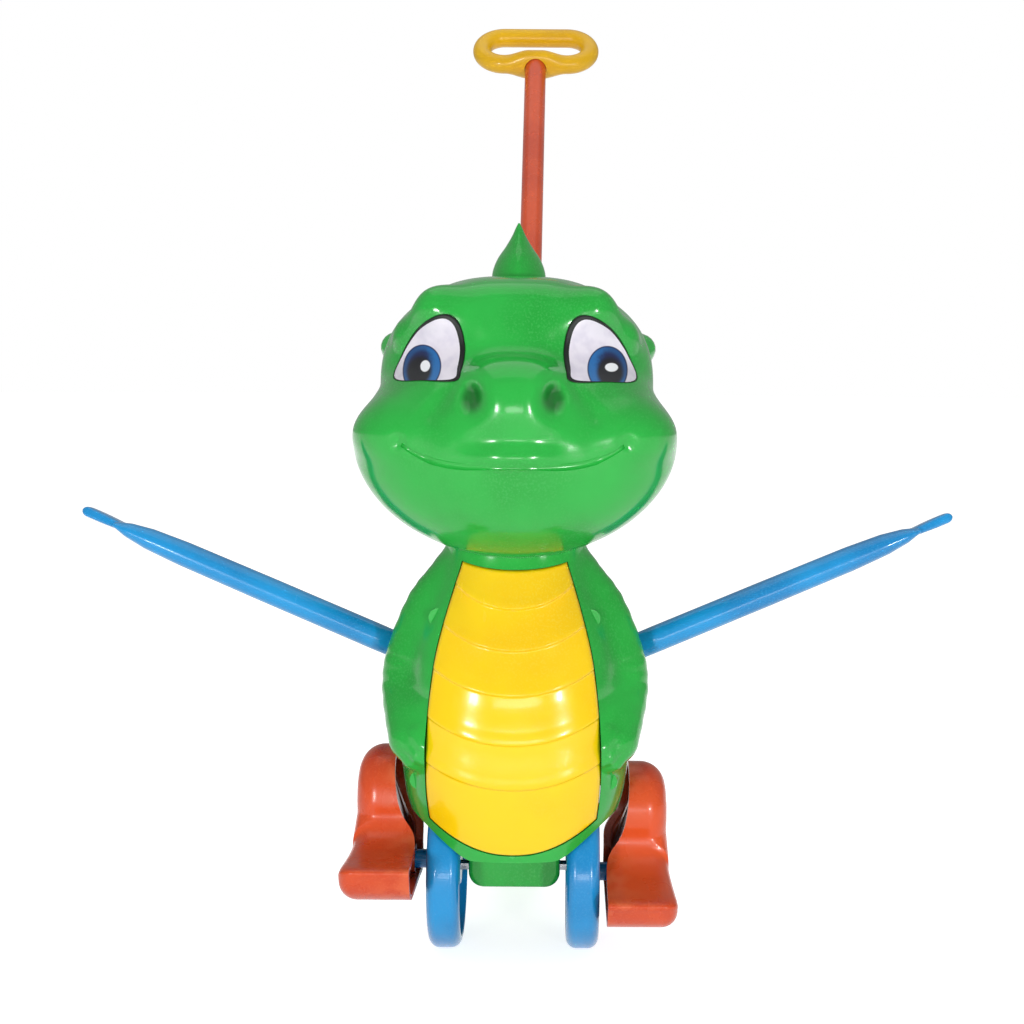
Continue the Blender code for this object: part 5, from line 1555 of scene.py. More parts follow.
    def eye(
        self, name: str, side: Side, depths: tuple[float, float], grow: float, *surfaces: Surface
    ) -> Piece:
        """A plate in the outline of an eye.

        Args:
            name: The name of the piece.
            side: Which eye.
            depths: How far its outer and its inner face lie behind the head's skin.
            grow: How much larger it is than the film.
            *surfaces: The print and the ink of a film, or nothing for a tool.

        Returns:
            The plate.
        """
        border = smooth_outline(np.array(self.eye_ink)[:, None], 8) * self.eye_width
        edge, inner = self.outline(grow), self.outline(-border)
        shares = np.linspace(0.0, 1.0, 9)[1:, None, None]
        flat = np.concatenate([inner * shares, [inner + 0.5 * (edge - inner)], [edge]])
        centre = [np.array([value]) for value in self.eye_centre]
        ink = 1 if surfaces else 0
        draft = Draft()
        rims = []
        for depth in depths:
            across, height = centre[0] + flat[..., 0], centre[1] + flat[..., 1]
            face = depth_at(self.field, across, height) + depth
            middle = depth_at(self.field, *centre) + depth
            grid = draft.add(joined(side.value * across, face, height))
            hub = draft.add(joined(side.value * centre[0], middle, centre[1]))
            draft.fan(grid[0], hub[0])
            draft.skin(grid[:8], ring=True)
            draft.skin(grid[7:], ring=True, band=ink)
            rims.append(grid[-1])
        draft.skin(np.stack(rims), ring=True, band=ink)
        return draft.make(name, *surfaces)

    def roof(self) -> float:
        """The height of the crown where the crest stands."""
        start, up = np.array((0.0, self.crest_y, self.middle)), np.array((0.0, 0.0, 1.0))
        return self.middle + float(crossing(self.field, start, up))

    def crown_tool(self) -> Piece:
        """The tool that fits the crest to the crown.

        Returns:
            The tool.
        """
        start, turn = np.array((0.0, self.crest_y, self.middle)), circle(96)
        sections = []
        for tilt in np.linspace(*self.crest_cone, 24):
            wide = math.sin(tilt)
            directions = joined(wide * np.cos(turn), wide * np.sin(turn), math.cos(tilt))
            reach = crossing(self.field, start, directions, SEAT_GAP)
            sections.append(start + directions * reach[:, None])
        low = start + self.crest_core * (sections[0] - start)
        return lofted("crown_tool", [low, *sections])

    def crest(self, roof: float) -> Piece:
        """Builds the spike on the crown with its peg.

        Args:
            roof: The height of the crown.

        Returns:
            The crest.
        """
        share = np.linspace(self.crest_levels[0], 1.0, 60)[:, None]
        size, turn = follow(share, self.crest_levels, self.crest_sizes), circle(72)
        x, y = (
            np.sign(way) * np.abs(way) ** (2.0 / self.crest_power) * half * size
            for way, half in zip((np.cos(turn), np.sin(turn)), self.crest_half)
        )
        sections = joined(x, self.crest_y + y, roof + share * self.crest_height)
        spike = lofted("head_spike", sections, self.bench.finish(GREEN))
        radius, length = self.peg
        low, high = (0.0, self.crest_y, roof - length), (0.0, self.crest_y, roof + WALL)
        tools = [(self.crown_tool(), Cut.TAKE), (rod("crest_peg", low, high, radius), Cut.JOIN)]
        return shaped(spike, tools, self.crest_sharp)

    def build(self) -> None:
        """Builds the shells, the eyes and the crest."""
        front, back = self.shell(Half.FRONT), self.shell(Half.BACK)
        tools = [(self.neck_tool("neck_front"), Cut.TAKE), (self.smile_tool(), Cut.TAKE)]
        floor = self.eye_plate + 1.5 * SEAT_GAP
        for side in Side:
            pocket = self.eye(f"pocket_{side.tag}", side, (-self.eye_pocket, floor), SEAT_GAP)
            tools.append((pocket, Cut.TAKE))
        shaped(front, tools)
        roof = self.roof()
        radius, length = self.peg
        low, high = (0.0, self.crest_y, roof - 2.0 * length), (0.0, self.crest_y, roof + length)
        hole = rod("crest_hole", low, high, radius + SEAT_GAP)
        shaped(back, [(self.neck_tool("neck_back"), Cut.TAKE), (hole, Cut.TAKE)])
        self.bench.place(front, "toy_body", "green_plastic", "head_front_shell")
        self.bench.place(back, "toy_body", "green_plastic", "head_back_shell")
        for side, glint in zip(Side, self.glints):
            printed = PrintedEye(f"eye_print_{side.tag}", side, self.eye_centre, light_radii=glint)
            film = self.eye(
                f"eye_film_{side.tag}", side, (0.0, self.eye_plate), 0.0,
                self.bench.finish(printed), self.bench.finish(INK),
            )
            self.bench.place(film, "toy_body", "white_print", f"eye_label_{side.tag}")
        self.bench.place(self.crest(roof), "toy_body", "green_plastic", "head_crest")


@dataclass
class RollingGear:
    """The wheels with their crank pins, and the carrier block between them."""

    bench: Bench
    radius: float = 0.032
    width: float = 0.0128
    inner_x: float = 0.0205
    hub: float = 0.0075
    rim_depth: float = 0.0050
    web: float = 0.0030
    tread_round: float = 0.0042
    dish: float = 0.0015
    rib: float = 0.0020
    ribs: int = 6
    axle_radius: float = 0.0020
    throw: float = 0.0070
    crank_angle: float = math.radians(38.0)
    pin_radius: float = 0.0037
    pin_end: float = 0.0490
    block_half: float = 0.0180
    block_front: float = 0.0105
    block_back: float = 0.0180
    block_bottom: float = 0.0262
    block_top: float = 0.0600
    block_corner: float = 0.0060
    block_round: float = 0.0016
    edge: float = 0.0004
    beam: tuple = ((-0.0120, -0.0300, 0.0540), (0.0120, 0.0172, 0.0592))
    pocket: tuple = ((-0.0075, -0.0085, 0.0242), (0.0075, 0.0085, 0.1200))
    mortise: tuple = ((-0.0063, 0.0117, 0.0327), (0.0063, 0.0240, 0.0433))
    bore_half: float = 0.04

    def crank_spot(self, side: Side) -> tuple[float, float]:
        """The middle of one crank pin.

        Args:
            side: Which wheel's pin.

        Returns:
            Its Y and Z.
        """
        return (
            side.value * self.throw * math.cos(self.crank_angle),
            self.radius - side.value * self.throw * math.sin(self.crank_angle),
        )

    def wheel(self, side: Side) -> Piece:
        """Builds one wheel.

        Args:
            side: Which wheel.

        Returns:
            The wheel with hub, web, ribs, rounded tread and crank pin.
        """
        w, r, soft, edge = self.width, self.radius, self.tread_round, self.edge
        bore, rib = self.axle_radius + SEAT_GAP / 2.0, self.rib / 2.0
        web_out, inner = w - self.dish, r - self.rim_depth
        web_in, tread = web_out - self.web, corner(soft, 9)
        profile = [(rib + edge, bore), (rib, bore + edge), (rib, self.hub - edge)]
        profile += [(rib + edge, self.hub), (web_in, self.hub), (web_in, inner)]
        profile += [(edge, inner + RIM_ROUND - edge), (0.0, inner + RIM_ROUND)]
        profile += [(across, r - along) for along, across in tread] + [(w / 2.0, r)]
        profile += [(w - across, r - along) for along, across in tread[::-1]]
        profile += [(w, inner + edge), (w - edge, inner), (web_out, inner - RIM_ROUND)]
        profile.append((web_out, bore))
        start = side.value * self.inner_x
        frame = axis_frame((start, 0.0, r), (side.value, 0.0, 0.0))
        made = turned(f"road_wheel_{side.tag}", profile, frame, 120, self.bench.finish(BLUE))
        tools = []
        ends = sorted((start + side.value * self.rib, start + side.value * (web_in + RIM_ROUND)))
        low, high = (ends[0], -rib, self.hub - RIM_ROUND), (ends[1], rib, inner + RIM_ROUND)
        middle = Matrix.Translation(Draft.shift + Vector((0.0, 0.0, r)))
        for index in range(self.ribs):
            spoke = block(f"spoke_{index}", low, high)
            turn = Matrix.Rotation(2.0 * math.pi * index / self.ribs, 4, "X")
            spoke.data.transform(middle @ turn @ Matrix.Translation(-Draft.shift))
            tools.append((spoke, Cut.JOIN))
        y, z = self.crank_spot(side)
        begin = self.inner_x + web_out - RIM_ROUND
        reach = self.pin_end - begin
        pin = [(0.0, 0.0), (0.0, self.pin_radius), (reach - RIM_ROUND, self.pin_radius)]
        pin += [(reach, self.pin_radius - RIM_ROUND), (reach, 0.0)]
        frame = axis_frame((side.value * begin, y, z), (side.value, 0.0, 0.0))
        tools.append((turned("crank_pin", pin, frame, 40), Cut.JOIN))
        return shaped(made, tools)

    def carrier(self) -> Piece:
        """Builds the rounded block that carries the axle.

        Returns:
            The block with its beam, bore, pocket and mortise.
        """
        half, bottom, top = self.block_half, self.block_bottom, self.block_top
        lower = corner(self.block_corner, 13)
        right = [(half - across, bottom + along) for along, across in lower]
        left = [(-x, z) for x, z in right[::-1]]
        outline = np.array([(-half, top), (half, top), *right, *left])
        middle, soft = np.array((0.0, top)), corner(self.block_round, 7)
        depths = [(-self.block_front + along, across) for along, across in soft[::-1]]
        depths += [(self.block_back - along, across) for along, across in soft]
        sections = []
        for depth, inset in depths:
            size = np.array((1.0 - inset / half, 1.0 - inset / (top - bottom)))
            spots = middle + (outline - middle) * size
            sections.append(joined(spots[:, 0], depth, spots[:, 1]))
        made = lofted("axle_block", sections, self.bench.finish(GREEN))
        ends = ((-self.bore_half, 0.0, self.radius), (self.bore_half, 0.0, self.radius))
        tools = [(block("beam", *self.beam), Cut.JOIN)]
        tools.append((rod("axle_bore", *ends, self.axle_radius + SEAT_GAP), Cut.TAKE))
        tools.append((block("crank_pocket", *self.pocket), Cut.TAKE))
        tools.append((block("mortise", *self.mortise), Cut.TAKE))
        return shaped(made, tools)

    def build(self) -> None:
        """Builds the wheels and the carrier block."""
        for side in Side:
            self.bench.place(self.wheel(side), "axle", "blue_plastic", f"wheel_{side.tag}")
        self.bench.place(self.carrier(), "toy_body", "green_plastic", "axle_carrier")
        self.bench.dress("axle_shaft", STEEL)


@dataclass
class Feet:
    """The walking feet: hollow legs whose toes flare outwards, each riding on a crank pin."""

    bench: Bench
    gear: RollingGear
    torso: Torso
    length: float = 0.0620
    inner_x: float = 0.0368
    outer_x: float = 0.0590
    flare: float = 0.0038
    play: float = 0.0007
    leg_clear: float = 0.0015
    recess: float = 0.0030
    rounding: float = 0.0095
    wall: float = 0.0020
    pitch: float = math.radians(4.5)
    step: float = 0.0120
    boss_radius: float = 0.0055
    boss_x: float = 0.0385
    boss_sink: float = 0.6
    boss_taper: tuple = (0.8, 0.58)
    least_reach: float = 0.2
    round_share: float = 0.72
    outline: tuple = (
        (0.065, 0.726), (0.226, 0.661), (0.323, 0.516), (0.339, 0.355), (0.290, 0.194),
        (0.242, 0.065), (0.274, -0.065), (0.210, -0.121), (0.0, -0.118), (-0.323, -0.115),
        (-0.560, -0.108), (-0.675, -0.050), (-0.732, 0.050), (-0.738, 0.115), (-0.560, 0.132),
        (-0.385, 0.160), (-0.262, 0.215), (-0.215, 0.305), (-0.222, 0.410), (-0.194, 0.548),
        (-0.097, 0.677),
    )
    spine: tuple = ((0.060, 0.470), (0.048, 0.040), (-0.610, 0.048))

    def nearest(self, spots: Array) -> Array:
        """The nearest point of the spine to each spot.

        Args:
            spots: Points of the outline, as Y and Z from the crank pin.

        Returns:
            A point of the spine for each of them.
        """
        spine = np.array(self.spine) * self.length
        best, least = np.zeros_like(spots), np.full(len(spots), 1.0)
        for first, second in zip(spine, spine[1:]):
            axis = second - first
            share = np.clip((spots - first) @ axis / (axis @ axis), 0.0, 1.0)
            near = first + share[:, None] * axis
            away = np.linalg.norm(spots - near, axis=1)
            closer = away < least
            best, least = np.where(closer[:, None], near, best), np.where(closer, away, least)
        return best

    def open_edge(self, spots: Array) -> Array:
        """The X of the open inner side, further out where the leg passes the torso.

        Args:
            spots: Points of the outline, as Y and Z from the crank pin.

        Returns:
            The X at each of them.
        """
        highest = self.gear.radius + self.gear.throw + spots[:, 1]
        rim = self.torso.rim_front + self.torso.rim_rise
        step = ease(highest, rim - self.step, rim)
        beside = self.torso.half_at(highest) + self.leg_clear
        return self.inner_x + step * (beside - self.inner_x)

    def rings(self, spots: Array, inset: float, steps: int) -> Array:
        """The rings of one skin, from its open side to its outer face.

        Args:
            spots: The outline of the foot.
            inset: How far inside the foot the skin lies.
            steps: How many rings its rounded edge gets.

        Returns:
            The rings as X, Y and Z from the crank pin.
        """
        near = self.nearest(spots)
        away = np.linalg.norm(spots - near, axis=1)
        reach = np.maximum(away - inset, self.least_reach * away)
        soft = np.minimum(self.rounding - inset, self.round_share * reach)
        out = (spots - near) / away[:, None]
        rings = []
        for turn in [None, *np.linspace(0.0, math.pi / 2.0, steps)]:
            angle = turn or 0.0
            place = near + out * (reach - soft * (1.0 - math.cos(angle)))[:, None]
            flare = self.flare * (0.5 - place[:, 0] / self.length)
            x = self.outer_x - inset + flare - soft * (1.0 - math.sin(angle))
            rings.append(np.column_stack([self.open_edge(spots) if turn is None else x, place]))
        return np.array(rings)

    def foot(self, side: Side) -> Piece:
        """Builds one leg and foot.

        Args:
            side: Which foot.

        Returns:
            The hollow foot with the boss that rides on the crank pin.
        """
        spots = smooth_outline(self.outline, 8) * self.length
        outer, inner = self.rings(spots, 0.0, 14), self.rings(spots, self.wall, 6)
        inner[1:, :, 0] = np.minimum(inner[1:, :, 0], inner[0, :, 0] + self.recess)
        y0, z0 = self.gear.crank_spot(side)
        pitch = side.value * self.pitch
        cosine, sine = math.cos(pitch), math.sin(pitch)
        draft = Draft()
        grids = []
        for rings in (outer, inner):
            x, y, z = np.moveaxis(rings, -1, 0)
            back, up = y0 + y * cosine - z * sine, z0 + y * sine + z * cosine
            grid = draft.add(joined(side.value * x - self.play, back, up))
            draft.skin(grid, ring=True)
            draft.face(grid[-1])
            grids.append(grid)
        draft.skin(np.stack([grids[0][0], grids[1][0]]), ring=True)
        made = draft.make(f"walking_foot_{side.tag}", self.bench.finish(RED))
        reach = self.outer_x + self.flare / 2.0 - self.boss_sink * self.wall - self.boss_x
        begin, slim = reach - self.boss_taper[0] * self.wall, self.boss_taper[1] * self.boss_radius
        boss = [(0.0, 0.0), (0.0, self.boss_radius), (begin, self.boss_radius)]
        boss += [(reach, slim), (reach, 0.0)]
        frame = axis_frame((side.value * self.boss_x - self.play, y0, z0), (side.value, 0.0, 0.0))
        start = side.value * (self.boss_x - WALL) - self.play
        end = side.value * (self.gear.pin_end + self.play + RUN_GAP) - self.play
        bore = rod("foot_bore", (start, y0, z0), (end, y0, z0), self.gear.pin_radius + SEAT_GAP, 40)
        return shaped(made, [(turned("foot_boss", boss, frame, 48), Cut.JOIN), (bore, Cut.TAKE)])

    def build(self) -> None:
        """Builds both feet."""
        for side in Side:
            self.bench.place(self.foot(side), f"{side.tag}_foot", "red_plastic", f"foot_{side.tag}")


@dataclass
class Wings:
    """The flapping wings: a rounded spar, a scalloped membrane and raised fingers on a hinge."""

    bench: Bench
    hinge_x: float = 0.0240
    hinge_y: float = 0.0090
    hinge_z: float = 0.1090
    lift: float = math.radians(23.2)
    swing: float = math.radians(32.0)
    tilt: float = math.radians(9.0)
    spar_length: float = 0.1480
    tip_length: float = 0.1635
    spar_half: float = 0.0053
    neck_half: float = 0.0043
    neck_length: float = 0.0290
    spar_depth: float = 0.0062
    membrane: float = 0.0032
    membrane_start: float = 0.0350
    chord: float = 0.0600
    chord_fade: float = 0.8
    chord_bulge: tuple = (0.72, 0.28, 0.25)
    overlap: float = 0.6
    scallops: int = 3
    scallop_share: float = 0.16
    knuckle: float = 0.0053
    pin_radius: float = 0.0015
    plate: float = 0.0020
    pad_reach: float = 0.0105
    post: tuple = (0.0110, 0.0030)
    slot_clear: float = 0.0012
    spar_shares: tuple = (0.55, 0.80, 0.90, 0.96, 1.0)
    spar_thick: tuple = (0.9, 1.0, 1.0, 0.98, 0.93, 0.80, 0.55, 0.20)
    spar_wide: tuple = (0.0, 0.0, 1.0, 1.0, 0.9, 0.7, 0.2, -0.6)
    finger_levels: tuple = (0.0, 0.5, 0.9, 1.0)
    finger_sizes: tuple = (0.85, 0.72, 0.58, 0.3)
    finger_bow: float = 0.0015
    tip_sweep: tuple = (1.2, 0.8)
    tip_share: float = 0.022
    tip_least: float = 0.02
    tip_width: float = 0.4
    tip_swell: tuple = (0.30, 0.84, 0.95)
    flatness: tuple = (0.35, 0.6)

    def frame(self, side: Side) -> Matrix:
        """The frame of a wing: X along the span, Y back along the chord, Z up from it."""
        mirror = Matrix.Diagonal(Vector((side.value, 1.0, 1.0, 1.0)))
        place = Matrix.Translation(Vector((self.hinge_x, self.hinge_y, self.hinge_z)))
        return mirror @ place @ Matrix.Rotation(-self.lift, 4, "Y")

    def spar(self, side: Side) -> Piece:
        """Builds the neck and the thick leading spar of a wing.

        Args:
            side: Which wing.

        Returns:
            The spar.
        """
        neck, span = self.neck_length, self.spar_length
        knots = (0.0, neck, neck + 2.0 * WALL, *(share * span for share in self.spar_shares))
        along = np.concatenate([np.linspace(0.0, 0.9, 70), np.linspace(0.9, 1.0, 22)[1:]]) * span
        half = self.spar_half * np.interp(along, knots, self.spar_thick)
        widen = np.interp(along, knots, self.spar_wide) * (self.spar_depth - self.neck_half)
        deep = np.maximum(self.neck_half + widen, 0.2 * self.neck_half)
        along, deep, half, angle = along[:, None], deep[:, None], half[:, None], circle(40)
        ring = moved(self.frame(side), joined(along, deep * np.cos(angle), half * np.sin(angle)))
        return lofted(f"dragon_wing_{side.tag}", ring, self.bench.finish(BLUE))

    def edges(self, share: Array) -> tuple[Array, Array, Array]:
        """The edges of the membrane.

        Args:
            share: Shares of its length.

        Returns:
            The place along the span, the leading and the trailing edge.
        """
        along = self.membrane_start + share * (self.tip_length - self.membrane_start)
        lobe = np.abs(np.sin(math.pi * self.scallops * share))
        chord = self.chord * (1.0 - share) ** self.chord_fade
        base, bulge, shift = self.chord_bulge
        chord = chord * (base + bulge * np.sin(math.pi * np.minimum(share + shift, 1.0)))
        chord = chord * (1.0 - self.scallop_share * lobe) + self.overlap * self.spar_depth
        most, begin = self.tip_sweep
        sweep = self.spar_depth * most * ease(share, begin, 1.0)
        return along, -0.5 * self.spar_depth * (1.0 - share**6) + sweep * 0.5, chord + sweep

    def blunt(self, share: Array) -> Array:
        """The share of its full size that the membrane keeps towards its rounded tip."""
        past = np.clip((share - (1.0 - self.tip_share)) / self.tip_share, 0.0, 1.0)
        return np.sqrt(np.maximum(1.0 - past**2, self.tip_least))

    def wing(self, side: Side) -> Piece:
        """Builds one wing.

        Args:
            side: Which wing.

        Returns:
            The wing with its knuckle bored for the hinge pin.
        """
        frame = self.frame(side)
        tilted = frame @ Matrix.Rotation(-self.tilt, 4, "X")
        share = np.concatenate([np.linspace(0.0, 0.97, 112), np.linspace(0.97, 1.0, 16)[1:]])
        along, lead, trail = self.edges(share)
        angle = circle(32)
        across, up = (
            np.sign(way) * np.abs(way) ** power
            for way, power in zip((np.cos(angle), np.sin(angle)), self.flatness)
        )
        blunt = self.blunt(share)
        swell, begin, full = self.tip_swell
        thick = (1.0 + swell * ease(share, begin, full)) * blunt
        up = up * self.membrane / 2.0 * thick[:, None]
        middle, half = (lead + trail)[:, None] / 2.0, (trail - lead)[:, None] / 2.0
        half = half * (self.tip_width + (1.0 - self.tip_width) * blunt)[:, None]
        skin = moved(tilted, joined(along[:, None], middle + half * across, up))
        tools = [(lofted("membrane", skin), Cut.JOIN)]
        steps = np.linspace(0.0, 1.0, 20)[:, None]
        bow = np.array((self.finger_bow, 0.0, 0.0)) * np.sin(math.pi * steps)
        sizes = self.membrane * np.interp(steps[:, 0], self.finger_levels, self.finger_sizes)
        for finger in range(1, self.scallops):
            spot, _, end = (float(place) for place in self.edges(np.array(finger / self.scallops)))
            root = np.array((spot - 0.5 * self.spar_depth, 0.0, 0.0))
            tip = np.array((spot, end - self.membrane / 2.0, 0.0))
            line = moved(tilted, root + steps * (tip - root) + bow)
            tools.append((swept(f"finger_{finger}", line, sizes, 24), Cut.JOIN))
        for name, reach, radius, sides, cut in (
            ("knuckle", self.neck_half, self.knuckle, 48, Cut.JOIN),
            ("hinge_bore", 2.0 * self.neck_half, self.pin_radius + SEAT_GAP, 32, Cut.TAKE),
        ):
            ends = [frame @ Vector((0.0, sign * reach, 0.0)) for sign in (-1.0, 1.0)]
            tools.append((rod(name, ends[0], ends[1], radius, sides), cut))
        return shaped(self.spar(side), tools)

    def slot_tools(self) -> Tools:
        """The tools that open the back shell for the wing necks.

        Returns:
            The tools.
        """
        out, deep = self.hinge_x + self.neck_length, self.neck_half + self.slot_clear
        high, low = (
            self.neck_length * math.tan(angle) + self.spar_half / math.cos(angle) + self.slot_clear
            for angle in (self.lift, self.swing - self.lift)
        )
        tools = []
        for side in Side:
            ends = sorted((side.value * (self.hinge_x + self.pad_reach), side.value * 2.0 * out))
            start = (ends[0], self.hinge_y - deep, self.hinge_z - low)
            end = (ends[1], self.hinge_y + deep, self.hinge_z + high)
            tools.append((block(f"slot_{side.tag}", start, end), Cut.TAKE))
        return tools

    def post_tools(self, torso: Torso) -> Tools:
        """The posts that hold the hinge bracket to the back shell.

        Args:
            torso: The torso, whose back they reach.

        Returns:
            The tools.
        """
        tools = []
        plate = self.hinge_y + self.neck_half + RUN_GAP + self.plate + SEAT_GAP
        for side in Side:
            x = side.value * self.post[0]
            inside = depth_at(torso.core, x, self.hinge_z, Half.BACK, -WALL / 2.0)
            ends = ((x, plate, self.hinge_z), (x, inside, self.hinge_z))
            tools.append((rod(f"post_{side.tag}", *ends, self.post[1]), Cut.JOIN))
        return tools

    def build(self) -> None:
        """Builds both wings and dresses their bracket, pins and lifter."""
        for side in Side:
            wing = self.wing(side)
            self.bench.place(wing, f"{side.tag}_wing", "blue_plastic", f"wing_{side.tag}")
            self.bench.dress(f"wing_pin_{side.tag}", STEEL)
        self.bench.dress("wing_bracket", GREY)
        self.bench.dress("wing_lifter", GREY)


@dataclass
class Stick:
    """The two-part push stick in its socket, with the loop handle at the top."""

    bench: Bench
    lean: float = math.radians(45.0)
    base_y: float = 0.0330
    base_z: float = 0.0560
    run: float = 0.5340
    radius: float = 0.0060
    top_radius: float = 0.0067
    wall: float = 0.0018
    split_share: float = 0.42
    spigot: float = 0.0250
    socket_radius: float = 0.0090
    socket_length: float = 0.0400
    socket_lip: float = 0.0015
    loop_width: float = 0.0815
    loop_height: float = 0.0410
    bar_radius: float = 0.0058
    boss_half: float = 0.0100
    boss_spread: float = 0.0200
    bore_depth: float = 0.0085
    edge: float = 0.0005
    mouth: float = 0.0003

    def frame(self, along: float = 0.0) -> Matrix:
        """The stick's frame: Z up the stick, X across the toy."""
        base = Matrix.Translation(Vector((0.0, self.base_y, self.base_z)))
        up = Matrix.Translation(Vector((0.0, 0.0, along)))
        return base @ Matrix.Rotation(-self.lean, 4, "X") @ up

    def hole_tool(self) -> Piece:
        """The tool that opens the back shell for the socket."""
        radius, length = self.socket_radius + SEAT_GAP, self.socket_length
        return turned("stick_hole", plug(-length, 3.0 * length, radius), self.frame(), 64)

    def tubes(self) -> tuple[Piece, Piece]:
        """Builds the two lengths of the stick.

        Returns:
            The lower and the upper tube.
        """
        split, r, edge = self.split_share * self.run, self.radius, self.edge
        bore = r - self.wall
        spigot, foot = bore - SEAT_GAP, split - SEAT_GAP
        end, bottom = split + self.spigot, 2.0 * WALL
        lower = [(bottom, bore - self.wall), (bottom, r - edge), (bottom + edge, r)]
        lower += [(along, r) for along in np.linspace(bottom, split, 12)[1:-1]]
        lower += [(foot - edge, r), (foot, r - edge), (foot, spigot)]
        lower += [(end - RIM_ROUND, spigot), (end, spigot - RIM_ROUND), (end, bore - self.wall)]
        top = self.run - self.loop_height / 2.0 + self.bore_depth - SEAT_GAP
        upper = [(split, bore), (split, r - edge), (split + edge, r)]
        for share in np.linspace(0.0, 1.0, 16)[1:-1]:
            upper.append((split + share * (top - split), r + share * (self.top_radius - r)))
        upper += [(top - edge, self.top_radius), (top, self.top_radius - edge), (top, bore)]
        tubes = (("stick_lower_tube", lower), ("stick_upper_tube", upper))
        return tuple(self.tube(name, profile, 56, RED) for name, profile in tubes)

    def tube(self, name: str, profile: Profile, sides: int, kind: MouldedPlastic) -> Piece:
        """Turns a piece on the stick's line and shades its rims sharp.

        Args:
            name: The name of the piece.
            profile: Distances up the stick and radii.
            sides: How many sides it gets.
            kind: Its finish.

        Returns:
            The piece.
        """
        made = turned(name, profile, self.frame(), sides, self.bench.finish(kind))
        made.data.set_sharp_from_angle(angle=SHARP_ANGLE)
        return made

    def socket(self) -> Piece:
        """Builds the socket tube that holds the stick in the back shell.

        Returns:
            The socket.
        """
        bore, lip, tight = self.radius + SEAT_GAP, self.socket_lip, self.radius - self.wall
        outer, length, floor = self.socket_radius, self.socket_length, 2.0 * WALL - SEAT_GAP
        profile = [(0.0, tight), (0.0, outer - RIM_ROUND), (RIM_ROUND, outer)]
        profile += [(length - along, outer - across) for along, across in corner(lip, 6)]
        profile += [(length, bore + self.mouth), (length - self.mouth, bore)]
        profile += [(floor, bore), (floor, tight)]
        return self.tube("stick_socket_tube", profile, 64, GREEN)

    def handle(self) -> Piece:
        """Builds the loop handle with the bore for the stick.

        Returns:
            The handle.
        """
        r = self.bar_radius
        arc = self.loop_height / 2.0 - r
        straight = self.loop_width / 2.0 - r - arc
        angle, upright = np.linspace(-math.pi / 2.0, math.pi / 2.0, 33), math.pi / 2.0
        turn = angle + math.pi
        right = joined(straight + arc * np.cos(angle), arc * np.sin(angle), angle)
        top = joined(np.linspace(straight, -straight, 26)[1:-1], arc, upright)
        left = joined(-straight + arc * np.cos(turn), arc * np.sin(turn), turn)
        bottom = joined(np.linspace(-straight, straight, 62)[1:-1], -arc, -upright)
        places = np.concatenate([right, top, left, bottom])
        x, z, way = (places[:, index : index + 1] for index in range(3))
        near = np.where(z < 0, np.maximum(1.0 - np.abs(x) / self.boss_spread, 0.0), 0.0)
        deep = r + (self.boss_half - r) * ease(near, 0.0, 0.8)
        around = circle(40)
        out = r * np.cos(around)
        ring = joined(x + out * np.cos(way), deep * np.sin(around), z + out * np.sin(way))
        frame = self.frame(self.run)
        made = lofted("push_handle", moved(frame, ring), self.bench.finish(HANDLE), loop=True)
        low = -self.loop_height / 2.0
        hole = plug(2.0 * low, low + self.bore_depth, self.top_radius + SEAT_GAP)
        return shaped(made, [(turned("handle_bore", hole, frame, 56), Cut.TAKE)])

    def build(self) -> None:
        """Builds the tubes, the socket and the handle."""
        lower, upper = self.tubes()
        self.bench.place(lower, "toy_body", "red_plastic", "stick_lower")
        self.bench.place(upper, "toy_body", "red_plastic", "stick_upper")
        self.bench.place(self.socket(), "toy_body", "green_plastic", "stick_socket")
        self.bench.place(self.handle(), "toy_body", "handle_plastic", "handle_loop")


@dataclass
class Tail:
    """The tail that props the toy up behind, and the screws in the back."""

    bench: Bench
    start: float = 0.0180
    length: float = 0.1200
    height: float = 0.0600
    levels: tuple = (0.0, 0.22, 0.47, 0.72, 0.88, 1.0)
    heights: tuple = (0.62, 0.49, 0.29, 0.155, 0.165, 0.26)
    radii: tuple = (0.215, 0.22, 0.205, 0.18, 0.12, 0.03)
    girth: float = 1.1
    edge: float = 0.0012
    tenon: tuple = (0.0060, 0.0330, 0.0430)

    def build(self) -> None:
        """Builds the tail and dresses the screws."""
        front = self.start + SEAT_GAP
        share = np.concatenate([np.linspace(0.0, 0.9, 64), np.linspace(0.9, 1.0, 20)[1:]])[:, None]
        centre, radius = (
            follow(share, self.levels, values) * self.height
            for values in (self.heights, self.radii)
        )
        edge = np.clip(1.0 - share * self.length / self.edge, 0.0, 1.0)
        radius = radius - self.edge * (1.0 - np.sqrt(1.0 - edge**2))
        across, up = np.cos(circle(64)), np.sin(circle(64))
        along = front + share * self.length
        ring = joined(self.girth * radius * across, along, centre + radius * up)
        made = lofted("dragon_tail", ring, self.bench.finish(GREEN))
        side, low, high = self.tenon
        tenon = block("tenon", (-side, self.start - side, low), (side, front + side, high))
        start, end = (-self.height, self.start, -self.height), (self.height, 2.0 * self.length, 0.0)
        shaped(made, [(tenon, Cut.JOIN), (block("floor_tool", start, end), Cut.TAKE)])
        self.bench.place(made, "toy_body", "green_plastic", "tail")
        for index in range(1, 5):
            self.bench.dress(f"torso_screw_{index}", STEEL)


